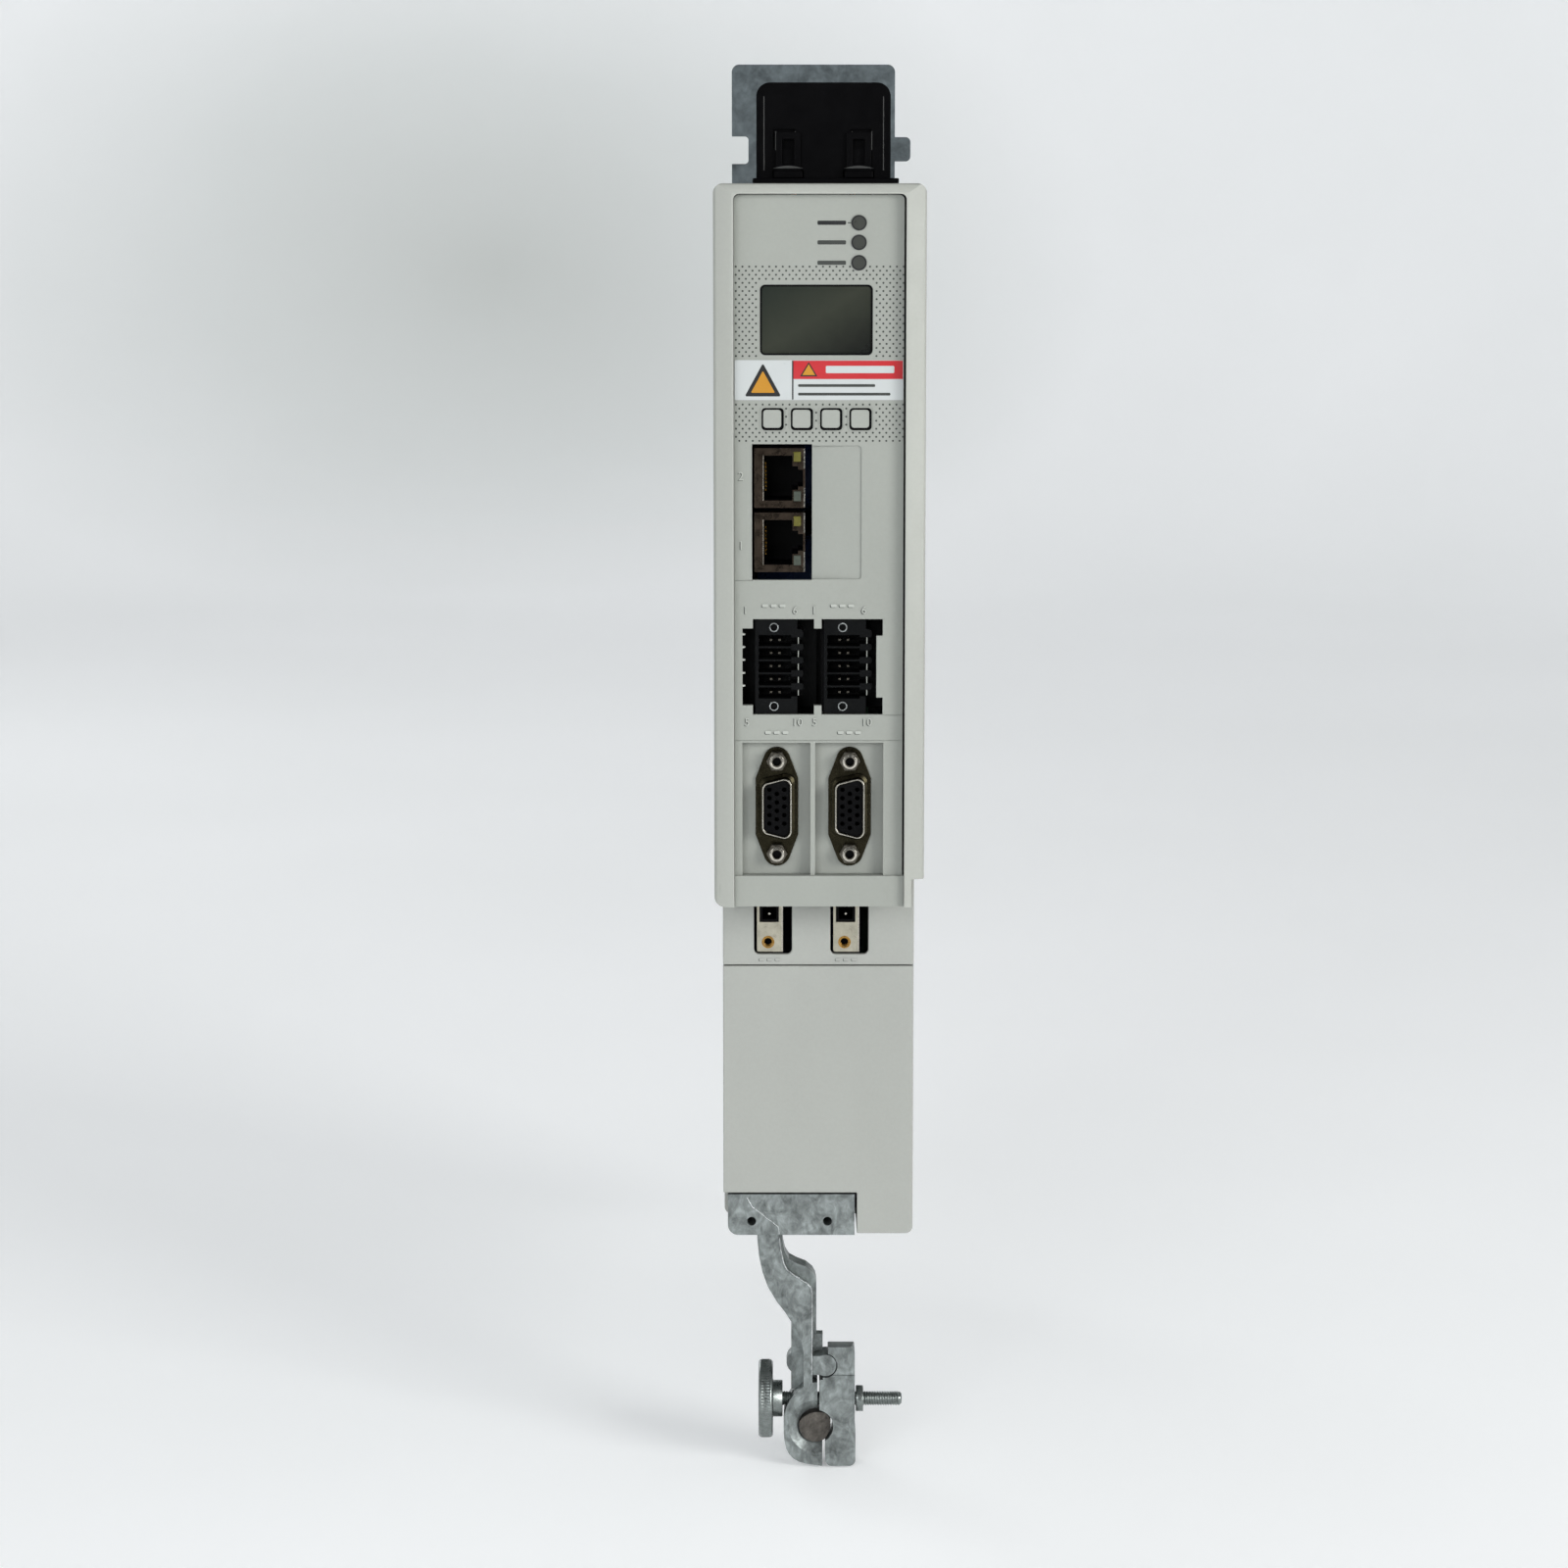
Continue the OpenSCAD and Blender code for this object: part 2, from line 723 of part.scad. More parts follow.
module lower_cover() {
    y1 = lower_y + wall_t;
    inner_x = chassis_x - wall_t;
    color("#a4a8a4") difference() {
        slab(lower_y, shell_y) {
            round_rect(-chassis_x, floor_z, chassis_x, seam_z - 0.15, 2);
            translate([-chassis_x, -90]) square([chassis_w, seam_z - 0.15 + 90]);
        }
        // room behind the front wall
        box([-inner_x, y1, floor_z + wall_t], [inner_x, shell_y + 1, seam_z + 1]);
        // corner that the cast bracket fills
        box([-chassis_x - 1, lower_y - 1, floor_z - 1], [block_x1 + 0.6, lower_y + 22, block_z1 + 0.5]);
    }
}

// ---- Bus connector on top ----

module bus_base() {
    color("#161717") difference() {
        slab(-240, -186) translate([-17.7, top_z]) square([38.6, 1.4]);
        box([-13, -232, top_z - 1], [15, -194, top_z + 3]);
    }
}

module bus_housing() {
    x0 = -16.7;
    x1 = 18.7;
    h = 167.3;
    color("#131414") difference() {
        slab(-238, -188) {
            round_rect(x0, top_z + 10, x1, h, 3.6);
            translate([x0, top_z + 1.4]) square([x1 - x0, 18]);
        }
        // two blade chambers, open at the top
        for (x = [-12, 3.6]) {
            box([x, -231, top_z + 4], [x + 10.4, -195, h + 1]);
            box([x + 4.3, -228.1, top_z], [x + 6.1, -197.9, top_z + 5]);
        }
        // shallow windows and feet around the latches
        for (x = [-12.2, 8]) {
            box([x, -239, 150], [x + 5.8, -237, 155.2]);
        }
        for (x = [-12.4, 6.2]) {
            box([x, -239, top_z + 1], [x + 8.2, -236.6, top_z + 3.4]);
        }
    }
}

// Spring latches that hold the bus links down.
module bus_latches() {
    color("#1c1d1d") for (x = [-12.1, 6.5]) {
        difference() {
            union() {
                box([x, -239.6, top_z + 1.6], [x + 7.6, -236.8, top_z + 3.2]);
                box([x + 0.6, -239.2, top_z + 3.2], [x + 7, -238.05, top_z + 13.4]);
            }
            box([x + 2.2, -240, top_z + 5], [x + 5.4, -237, top_z + 11.5]);
        }
    }
}

module bus_contacts() {
    color("#b87333") for (x = [-7.6, 8]) {
        box([x, -228, top_z - 14], [x + 1.6, -198, 153]);
    }
}

// ---- Sockets on the top and the underside ----

// Shell with a row of square plug chambers, opening up (s = 1) or down (s = -1).
module plug_row(x, y, z, n, pitch, w, h, s) {
    len = n * pitch + 1;
    translate([x - len / 2, y - w / 2, s > 0 ? z - h : z]) difference() {
        cube([len, w, h]);
        for (i = [0:n - 1]) {
            translate([1 + i * pitch, 1, s > 0 ? 2 : -1]) cube([pitch - 1, w - 2, h - 1]);
        }
    }
}

module control_power_socket() {
    color("#3c3f41") plug_row(0, -160, top_z + 1, 4, 7.4, 20, 17, 1);
}

module safe_torque_header() {
    color("#3c3f41") plug_row(0, -120, top_z + 0.6, 6, 4.9, 13, 15, 1);
}

module motor_power_sockets() {
    color("#2d2f31") for (s = [-1, 1]) {
        plug_row(s * 12.6, -136, floor_z - 1, 3, 7, 26, 19, -1);
    }
}

module brake_sockets() {
    color("#2d2f31") for (s = [-1, 1]) {
        plug_row(s * 12.6, -92, floor_z - 0.6, 2, 5.4, 10.6, 14, -1);
    }
}

module ground_screw() {
    color("#c4b27a") difference() {
        union() {
            rod_y(15, -160, -6.4, -plate_t, 4);
            rod_y(15, -160, -plate_t - 0.5, -0.3, 2);
        }
        rod_y(15, -160, -7, -4.2, 1.8);
    }
}

// ---- Cooling ----

module heat_sink() {
    base_y = sink_y0 + sink_base;
    pitch = (2 * sink_x - 1.4) / (fin_count - 1);
    color("#8f9396") {
        box([-sink_x, sink_y0, sink_z0], [sink_x, base_y, sink_z1]);
        for (i = [0:fin_count - 1]) {
            x = -sink_x + i * pitch;
            box([x, base_y - eps, sink_z0], [x + 1.4, -plate_t - 1, sink_z1]);
        }
    }
}

module fan_frame() {
    color("#242628") translate([0, fan_y, fan_z0]) difference() {
        translate([-fan_w / 2, -fan_w / 2, 0]) cube([fan_w, fan_w, fan_t]);
        difference() {
            translate([0, 0, -1]) cylinder(h = fan_t + 2, r = fan_bore_r);
            // spider that carries the motor
            translate([0, 0, fan_t - 2]) cylinder(h = 2, r = 8);
            for (a = [45:90:315]) {
                rotate(a) translate([0, -1.2, fan_t - 2]) cube([fan_w, 2.4, 2]);
            }
        }
        for (a = [45:90:315]) {
            rotate(a) translate([22.6, 0, -1]) cylinder(h = fan_t + 2, r = 1.6);
        }
    }
}

// Hub with seven pitched blades, clear of the frame all round.
module fan_rotor() {
    blade_r = fan_bore_r - 0.9;
    color("#303336") translate([0, fan_y, fan_z0]) {
        translate([0, 0, 1.5]) cylinder(h = fan_t - 4.2, r = 8.2);
        intersection() {
            translate([0, 0, 1.8]) cylinder(h = fan_t - 5, r = blade_r);
            for (i = [0:6]) {
                rotate(i * 360 / 7) translate([0, 0, fan_t / 2 - 0.8]) rotate([38, 0, 0])
                    translate([5, -6.4, -0.6]) cube([fan_w, 12.8, 1.2]);
            }
        }
    }
}

module fan_guard() {
    color("#b9bcbd") translate([0, fan_y, floor_z - 1.6]) {
        for (r = [5, 10, 15]) {
            difference() {
                cylinder(h = 1.6, r = r + 0.6);
                translate([0, 0, -1]) cylinder(h = 4, r = r - 0.6);
            }
        }
        for (a = [45:90:315]) {
            difference() {
                rotate(a) translate([0, -0.8, 0]) cube([24.4, 1.6, 1.6]);
                rotate(a) translate([22.6, 0, -1]) cylinder(h = 4, r = 0.6);
            }
        }
    }
}

// ---- Electronics ----

module control_board() {
    color("#2f6a42") difference() {
        box([control_x, -238, -110], [control_x + board_t, -60, 130]);
        box([control_x - 1, -240, -111], [control_x + 3, -222, -44]);
        box([control_x - 1, -240, 0], [control_x + 3, -226, 28]);
        for (y = [-214, -66], z = [-102, 122]) {
            rod_x(y, z, control_x - 1, control_x + 3, 1.6);
        }
    }
}

module power_board() {
    color("#2f6a42") box([power_x, -172, -116], [power_x + board_t, -60, 118]);
}

// Bus capacitors standing across the power board.
module capacitors() {
    color("#2b3b55") for (y = [-154, -124, -94], z = [-70, 30, 60, 90]) {
        rod_x(y, z, power_x - 30, power_x, 12);
    }
}

module power_module() {
    color("#2a2a2c") box([-18, -58, -60], [10, sink_y0, 40]);
}

module current_sensors() {
    color("#3f4347") for (z = [-100, -36, -16]) {
        difference() {
            box([power_x - 14, -112, z - 8], [power_x, -92, z + 8]);
            rod_y(power_x - 7, z, -113, -91, 4);
        }
    }
}

module transformer() {
    color("#6b5a3a") {
        box([power_x - 20, -160, -24], [power_x, -130, 4]);
        box([power_x - 22, -154, -20], [power_x - 2, -136, 0]);
    }
}

// ---- Cable clamp ----

// Front web of the arm, which narrows to a strip above the jaw.
module arm_web() {
    polygon([[-16.8, -140], [-16.8, -147.5], [-16.3, -152.8], [-15.4, -157.1], [-13.9, -161.4],
        [-11.4, -165.7], [-9.1, -168.7], [-7.5, -171.3], [-6, -173.6], [-4.7, -176.4],
        [-4, -180], [-4, -192], [-1.5, -192], [-1.5, -163.4], [-2, -161.9],
        [-3, -160.9], [-6.8, -158.4], [-8.9, -156.7], [-9.8, -154.6], [-10.5, -151],
        [-10.9, -147.5], [-10.9, -140]]);
}

// Flange behind the web, which shows along its right edge.
module arm_flange() {
    polygon([[-16.5, -140], [-16.5, -147.5], [-16, -152.8], [-15.1, -157.1], [-13.6, -161.4],
        [-11.1, -165.7], [-8.8, -168.7], [-7.4, -171], [-7.4, -192], [-0.4, -192],
        [-0.4, -161.4], [-0.7, -160], [-1.5, -158.6], [-3.4, -157], [-6, -156], [-8, -154.9],
        [-9.1, -153.1], [-9.7, -150.5], [-9.9, -148.5], [-9.9, -140]]);
}

// Fixed jaw: the C wall and its foot, left of the split.
module jaw_outline() {
    polygon([[-0.1, -188.7], [-1.6, -188.9], [-3.2, -189.5], [-5.1, -190.8], [-6.6, -192.2],
        [-7.8, -193.9], [-8.7, -195.8], [-9.3, -197.8], [-9.5, -200], [-9.5, -203],
        [-9.3, -205.5], [-8.8, -207.8], [-8, -209.4], [-6.8, -210.7], [-5.2, -211.6],
        [-3, -212.2], [1.1, -212.8], [1.3, -212.5], [1.3, -203], [-0.1, -203]]);
}

module clamp_bracket() {
    y1 = arm_y + jaw_d;
    color("#8e9291") difference() {
        union() {
            // block in the corner of the cover
            slab(lower_y + 0.2, lower_y + 20) {
                round_rect(block_x0, block_z0, block_x1, block_z1 + 6, 2.9);
                translate([block_x1 - 5, block_z0]) square([5, 5]);
            }
            slab(arm_y, y1) arm_web();
            slab(arm_y + 5, y1 + 2) arm_flange();
            slab(arm_y, y1) jaw_outline();
            // knuckle that the loose jaw turns on, and its stop
            rod_y(knuckle_x, knuckle_z, arm_y + 0.6, y1 - 1, knuckle_r);
            box([-1.6, arm_y + 0.6, knuckle_z - 2.7], [1.1, y1 - 1, knuckle_z + 2.7]);
            box([-0.8, arm_y + 6, -187], [1.4, arm_y + 9.5, -176.5]);
            // boss on the back of the arm
            rod_y(-5.2, -184.6, arm_y + 6, y1 + 1.5, 3.5);
        }
        box([-60, -260, block_z1], [60, -180, -120]);
        for (x = block_hole_xs) {
            rod_y(x, block_hole_z, lower_y - 1, lower_y + 12, block_hole_r);
        }
        rod_y(bore_x, bore_z, arm_y - 1, y1 + 3, bore_r);
        // wide conical mouth of the bore
        translate([bore_x, arm_y - eps, bore_z]) rotate([-90, 0, 0])
            cylinder(h = 2.2, r1 = bore_r + 2.8, r2 = bore_r);
        // clear hole for the thumb screw
        rod_x(screw_y, screw_z, -14, 4, thread_r + 0.3);
    }
}

// Filler for thin cables, lying in the fixed half of the bore.
module clamp_spacer() {
    color("#8b857c") slab(arm_y + 1.4, arm_y + jaw_d - 1) intersection() {
        translate([bore_x - 0.14, bore_z - 0.14]) circle(bore_r - 0.2);
        translate([bore_x - 1.9, bore_z + 0.3]) circle(6);
        translate([bore_x + 0.6, bore_z - 2.6]) circle(6.4);
    }
}

// Loose jaw: hooks over the knuckle and closes the bore from the right.
module clamp_jaw() {
    y1 = arm_y + jaw_d;
    hook_r = knuckle_r + 0.3;
    color("#9b9b97") difference() {
        slab(arm_y, y1) difference() {
            union() {
                round_rect(2.1, -212.8, jaw_x1 + 0.2, -201, 1.8);
                round_rect(1.2, -206, jaw_x1, -178.8, 2);
                translate([split_x + 0.25, -199]) square([5, 12]);
            }
            translate([bore_x, bore_z]) circle(bore_r);
            translate([knuckle_x, knuckle_z]) circle(hook_r);
            // mouth of the hook, with room to swing
            polygon([[knuckle_x, knuckle_z], [-5, knuckle_z + 5.6], [-5, knuckle_z - 9.5],
                [knuckle_x - 1.4, knuckle_z - 3.2]]);
            translate([-3, -182]) square([5.8, 12]);
            translate([-6, -188]) square([7.4, 8]);
        }
        // the upper part is a little lower than the front face, and its top falls back
        box([-5, arm_y - 1, -186.9], [20, arm_y + 0.5, -170]);
        side_slab(-5, 20) polygon([[arm_y - 1, -178.7], [y1 + 1, -180], [y1 + 1, -170], [arm_y - 1, -170]]);
        // slot that lets the jaw swing past the screw
        side_slab(-5, 20) {
            translate([screw_y, screw_z]) circle(thread_r + 0.3);
            translate([screw_y - thread_r - 0.3, screw_z - 2.6]) square([2 * thread_r + 0.6, 2.6]);
            translate([screw_y, screw_z - 2.6]) circle(thread_r + 0.3);
        }
        box([-5, arm_y - 1, -230], [2.1, y1 + 1, bore_z - 3]);
    }
}

// Nut that carries the loose jaw along the screw.
module screw_nut() {
    color("#d5d5d0") difference() {
        rod_x(screw_y, screw_z, jaw_x1 + 0.35, jaw_x1 + 2.35, 3.6);
        rod_x(screw_y, screw_z, jaw_x1, jaw_x1 + 3, thread_r + 0.08);
    }
}

module thumb_screw() {
    head_x = -16.5;
    color("#8f9694") {
        difference() {
            rod_x(screw_y, screw_z, head_x, head_x + 4, knob_d / 2);
            // flutes of the knurled rim
            for (a = [0:15:345]) {
                rotate_about_x(a) rod_x(screw_y, screw_z + knob_d / 2 + 0.25, head_x - 1, head_x + 5, 0.75);
            }
        }
        rod_x(screw_y, screw_z, head_x + 4 - eps, -9.8, 5.1);
        rod_x(screw_y, screw_z, -10, 22.6, thread_r);
        translate([22.6, screw_y, screw_z]) rotate([0, 90, 0])
            cylinder(h = 0.8, r1 = thread_r, r2 = thread_r - 0.7);
    }
}

module rotate_about_x(a) {
    translate([0, screw_y, screw_z]) rotate([a, 0, 0]) translate([0, -screw_y, -screw_z]) children();
}

// A round bar along X, from a to b outwards of a side wall's outer face.
module side_rod(s, y, z, a, b, r) {
    x = s * chassis_x;
    rod_x(y, z, min(x + s * a, x + s * b), max(x + s * a, x + s * b), r);
}

// Pan-head screws that hold the side walls.
module chassis_screws() {
    color("#b9bcba") for (s = [-1, 1], y = [-166, -14], z = [-134, 128]) {
        if (y < -100 || z > 0) {
            difference() {
                union() {
                    side_rod(s, y, z, 0.02, 0.62, 2.8);
                    side_rod(s, y, z, -4, 0.1, 1.25);
                }
                side_rod(s, y, z, 0.2, 2, 0.9);
            }
        }
    }
}

mounting_plate();
left_side_wall();
right_side_wall();
top_panel();
bottom_panel();
front_bezel();
front_panel();
overlay_label();
display_window();
display_module();
status_lights();
key_1();
key_2();
key_3();
key_4();
key_switches();
display_board();
ethernet_jack_1();
ethernet_jack_2();
ethernet_inserts();
ethernet_contacts();
ethernet_lights();
io_header_a();
io_header_b();
io_pins();
io_inserts();
feedback_shell_a();
feedback_shell_b();
feedback_insulators();
feedback_jackscrews();
lower_fascia();
ground_plate_a();
ground_plate_b();
motor_feedback_sockets();
lower_cover();
bus_base();
bus_housing();
bus_latches();
bus_contacts();
control_power_socket();
safe_torque_header();
motor_power_sockets();
brake_sockets();
ground_screw();
heat_sink();
fan_frame();
fan_rotor();
fan_guard();
control_board();
power_board();
capacitors();
power_module();
current_sensors();
transformer();
clamp_bracket();
clamp_spacer();
clamp_jaw();
screw_nut();
thumb_screw();
chassis_screws();
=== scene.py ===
"""A servo drive with its cable clamp, on a pale sweep. Units are metres, X right, -Y front, Z up.

Sizes inside the piece functions are in millimetres, in the same frame as the CAD nodes.
"""

import math

import bmesh
import bpy
from mathutils import Matrix, Vector


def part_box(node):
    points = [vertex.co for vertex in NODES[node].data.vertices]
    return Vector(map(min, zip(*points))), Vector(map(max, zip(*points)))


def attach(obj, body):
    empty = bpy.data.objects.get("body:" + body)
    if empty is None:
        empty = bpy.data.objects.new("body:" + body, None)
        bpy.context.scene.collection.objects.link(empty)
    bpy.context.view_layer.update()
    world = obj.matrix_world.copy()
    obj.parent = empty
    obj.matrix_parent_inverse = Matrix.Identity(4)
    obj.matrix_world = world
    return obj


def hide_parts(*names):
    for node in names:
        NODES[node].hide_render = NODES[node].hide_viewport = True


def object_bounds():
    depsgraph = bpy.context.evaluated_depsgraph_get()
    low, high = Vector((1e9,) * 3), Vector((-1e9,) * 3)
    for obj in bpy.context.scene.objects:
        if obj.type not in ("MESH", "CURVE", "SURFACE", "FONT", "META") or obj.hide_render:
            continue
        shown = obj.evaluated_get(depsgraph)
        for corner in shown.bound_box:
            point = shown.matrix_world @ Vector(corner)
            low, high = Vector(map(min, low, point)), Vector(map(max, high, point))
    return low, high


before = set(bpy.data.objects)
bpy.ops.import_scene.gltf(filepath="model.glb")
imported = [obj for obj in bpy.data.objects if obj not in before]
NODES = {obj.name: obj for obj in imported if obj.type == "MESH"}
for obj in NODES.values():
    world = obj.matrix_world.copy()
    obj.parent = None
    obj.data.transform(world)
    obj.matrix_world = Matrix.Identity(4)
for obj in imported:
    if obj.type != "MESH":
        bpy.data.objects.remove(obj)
CAD_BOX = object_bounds()
MM = 0.001
scene = bpy.context.scene


class Box:
    """Box of a CAD node in millimetres, and its middle x and z."""

    def __init__(self, name):
        lo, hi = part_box(name)
        self.x0, self.y0, self.z0 = (v / MM for v in lo)
        self.x1, self.y1, self.z1 = (v / MM for v in hi)
        self.x = (self.x0 + self.x1) / 2
        self.z = (self.z0 + self.z1) / 2
        self.width = self.x1 - self.x0


# ---------------------------------------------------------------- materials

def srgb(r, g, b):
    """Linear colour of an 8-bit sRGB triple."""
    def one(v):
        v /= 255
        return v / 12.92 if v <= 0.04045 else ((v + 0.055) / 1.055) ** 2.4
    return (one(r), one(g), one(b), 1.0)


def shade(colour, k):
    """A colour made k times as bright."""
    return tuple(min(1.0, c * k) for c in colour[:3]) + (1.0,)


class Surface:
    """One procedural material: a shader, and helpers that add nodes to it."""

    def __init__(self, name, rough=0.5, metallic=0.0, **sockets):
        self.mat = bpy.data.materials.new(name)
        self.mat.use_nodes = True
        self.tree = self.mat.node_tree
        self.shader = self.tree.nodes["Principled BSDF"]
        self.shader.inputs["Metallic"].default_value = metallic
        self.shader.inputs["Roughness"].default_value = rough
        for key, value in sockets.items():
            self.shader.inputs[key.replace("_", " ")].default_value = value
        self.coords = self.add("ShaderNodeTexCoord").outputs["Object"]
        self.normal = None

    def add(self, kind, **props):
        """A new node of the given kind."""
        node = self.tree.nodes.new(kind)
        for key, value in props.items():
            setattr(node, key, value)
        return node

    def plug(self, socket, value):
        """Feeds a socket from another socket or from a plain value."""
        if isinstance(value, bpy.types.NodeSocket):
            self.tree.links.new(value, socket)
        else:
            socket.default_value = value

    def axis(self, index):
        """The object's own X, Y or Z coordinate, in metres."""
        node = self.add("ShaderNodeSeparateXYZ")
        self.plug(node.inputs[0], self.coords)
        return node.outputs[index]

    def stretched(self, sx, sy, sz, turn=(0, 0, 0)):
        """Coordinates scaled along each axis, for noise that runs one way."""
        node = self.add("ShaderNodeMapping")
        self.plug(node.inputs["Vector"], self.coords)
        node.inputs["Scale"].default_value = (sx, sy, sz)
        node.inputs["Rotation"].default_value = turn
        return node.outputs["Vector"]

    def noise(self, size, detail=3.0, rough=0.55, vector=None, distort=0.0):
        """Noise whose features are about size millimetres across."""
        node = self.add("ShaderNodeTexNoise")
        self.plug(node.inputs["Vector"], vector or self.coords)
        node.inputs["Scale"].default_value = 1 / (size * MM)
        node.inputs["Detail"].default_value = detail
        node.inputs["Roughness"].default_value = rough
        node.inputs["Distortion"].default_value = distort
        return node.outputs["Fac"]

    def ramp(self, fac, *stops):
        """Colour ramp through the given (place, colour) stops."""
        node = self.add("ShaderNodeValToRGB")
        self.plug(node.inputs["Fac"], fac)
        points = node.color_ramp.elements
        while len(points) < len(stops):
            points.new(0.5)
        for point, (place, colour) in zip(points, stops):
            point.position = place
            point.color = colour if len(colour) == 4 else (*colour, 1)
        return node.outputs["Color"]

    def span(self, fac, a, b, lo=0.0, hi=1.0):
        """Spreads fac from a..b over lo..hi."""
        node = self.add("ShaderNodeMapRange")
        self.plug(node.inputs["Value"], fac)
        for key, value in (("From Min", a), ("From Max", b), ("To Min", lo), ("To Max", hi)):
            node.inputs[key].default_value = value
        return node.outputs["Result"]

    def sum(self, a, b, op="ADD"):
        """Adds two values, or joins them with another operation."""
        node = self.add("ShaderNodeMath", operation=op)
        self.plug(node.inputs[0], a)
        self.plug(node.inputs[1], b)
        return node.outputs[0]

    def share(self, a, part_a, b, part_b):
        """Weighted sum of two values."""
        return self.sum(self.sum(a, part_a, "MULTIPLY"), self.sum(b, part_b, "MULTIPLY"))

    def blend(self, fac, a, b, mode="MIX"):
        """Mixes two colours."""
        node = self.add("ShaderNodeMix", data_type="RGBA", blend_type=mode)
        self.plug(node.inputs[0], fac)
        self.plug(node.inputs[6], a)
        self.plug(node.inputs[7], b)
        return node.outputs[2]

    def bump(self, height, depth):
        """Adds a relief of about depth millimetres."""
        node = self.add("ShaderNodeBump")
        node.inputs["Distance"].default_value = depth * MM
        node.inputs["Strength"].default_value = 1.0
        self.plug(node.inputs["Height"], height)
        if self.normal:
            self.plug(node.inputs["Normal"], self.normal)
        self.normal = node.outputs["Normal"]
        self.plug(self.shader.inputs["Normal"], self.normal)

    def colour(self, value):
        self.plug(self.shader.inputs["Base Color"], value)

    def rough(self, value):
        self.plug(self.shader.inputs["Roughness"], value)


def moulded(name, rgb, rough=0.55, grain=0.35, depth=0.02, vary=0.06, spec=0.4):
    """Moulded plastic: spark-eroded grain, faint flow marks, a little dust."""
    s = Surface(name, rough, Specular_IOR_Level=spec)
    colour = srgb(*rgb)
    flow = s.noise(38, 2, 0.5, s.stretched(1, 1, 0.35))
    speck = s.noise(0.9, 2, 0.6)
    tone = s.span(s.share(flow, 0.75, speck, 0.25), 0.3, 0.7)
    s.colour(s.ramp(tone, (0, shade(colour, 1 - vary)), (1, shade(colour, 1 + vary))))
    s.rough(s.span(s.noise(6, 4, 0.6), 0.3, 0.7, rough - 0.07, rough + 0.08))
    s.bump(s.noise(grain, 2, 0.55), depth)
    return s.mat


def worn_metal(name, rgb, rough=0.35, vary=0.12, patch=3.0, depth=0.01, grain=0.5):
    """Plated or drawn metal with patchy sheen and fine scratches."""
    s = Surface(name, rough, 1.0)
    colour = srgb(*rgb)
    cloud = s.noise(patch, 4, 0.6, distort=0.4)
    fine = s.noise(grain, 3, 0.6)
    tone = s.span(s.share(cloud, 0.7, fine, 0.3), 0.32, 0.68)
    s.colour(s.ramp(tone, (0, shade(colour, 1 - 2 * vary)), (1, shade(colour, 1 + vary))))
    s.rough(s.span(s.noise(patch * 0.6, 4, 0.65), 0.3, 0.7, rough - 0.1, rough + 0.12))
    s.bump(fine, depth)
    return s.mat


def cast_metal(name, rgb, rough=0.44):
    """Die-cast zinc: grey clouds with sharp-edged pale and dark flow marks, and a fine skin grain."""
    s = Surface(name, rough, 0.75)
    cloud = s.noise(5.5, 6, 0.64, distort=1.4)
    flow = s.noise(2.6, 5, 0.62, s.stretched(1, 1, 0.55, (0, 0.5, 0)), distort=0.9)
    tone = s.span(s.share(cloud, 0.55, flow, 0.45), 0.36, 0.64)
    stops = ((0, 0.44), (0.4, 0.82), (0.62, 1.06), (1, 1.5))
    s.colour(s.ramp(tone, *((place, shade(srgb(*rgb), k)) for place, k in stops)))
    s.rough(s.span(s.noise(1.8, 5, 0.65), 0.3, 0.7, rough - 0.14, rough + 0.14))
    s.bump(s.noise(0.6, 4, 0.6), 0.03)
    s.bump(s.noise(4, 3, 0.5), 0.12)
    return s.mat


def galvanised(name, rgb, rough=0.4):
    """Hot-dip zinc on steel sheet: soft grey clouds with small dull and bright flecks."""
    s = Surface(name, rough, 0.7)
    wander = s.blend(0.012, s.coords, s.add("ShaderNodeTexNoise").outputs["Color"])
    cloud = s.noise(11, 6, 0.66, wander, distort=0.5)
    fleck = s.noise(2.2, 4, 0.62)
    tone = s.span(s.share(cloud, 0.68, fleck, 0.32), 0.34, 0.66)
    stops = ((0, 0.56), (0.45, 0.94), (1, 1.4))
    s.colour(s.ramp(tone, *((place, shade(srgb(*rgb), k)) for place, k in stops)))
    s.rough(s.span(s.noise(3, 4), 0.3, 0.7, rough - 0.1, rough + 0.16))
    s.bump(fleck, 0.02)
    return s.mat


def display_glass(name):
    """Glass over a sleeping display: grey-green, with a painted reflection that makes it lighter towards its
    upper left corner.
    """
    s = Surface(name, 0.2, Specular_IOR_Level=0.35)
    glass = Box("display_window")
    # painted reflection: the glass colour lightens towards the left and towards the top
    across = s.span(s.axis(0), glass.x0 * MM, glass.x1 * MM, 0.5, 0.0)
    up = s.span(s.axis(2), glass.z0 * MM, glass.z1 * MM, 0.0, 0.5)
    tone = s.share(s.sum(across, up), 0.86, s.noise(2.6, 4), 0.1)
    s.colour(s.ramp(tone, (0.1, srgb(22, 24, 22)), (0.5, srgb(48, 51, 43)), (1, srgb(27, 34, 30))))
    s.bump(s.noise(9, 2), 0.004)
    return s.mat


def two_tone(name, upper, lower):
    """Light pipes of the jacks: one colour in the upper half of each jack, another in the lower."""
    s = Surface(name, 0.3, Specular_IOR_Level=0.6)
    start = Box("ethernet_jack_1").z0 * MM
    pitch = Box("ethernet_jack_2").z0 * MM - start
    phase = s.sum(s.sum(s.sum(s.axis(2), start, "SUBTRACT"), pitch, "DIVIDE"), 1.0, "MODULO")
    which = s.sum(phase, 0.5, "GREATER_THAN")
    grain = s.span(s.noise(0.8, 3), 0.3, 0.7, 0.8, 1.15)
    both = s.blend(which, srgb(*lower), srgb(*upper))
    s.colour(s.blend(1.0, both, s.ramp(grain, (0.8, (0.8, 0.8, 0.8)), (1, (1, 1, 1))), "MULTIPLY"))
    s.bump(s.noise(0.5, 2), 0.006)
    return s.mat


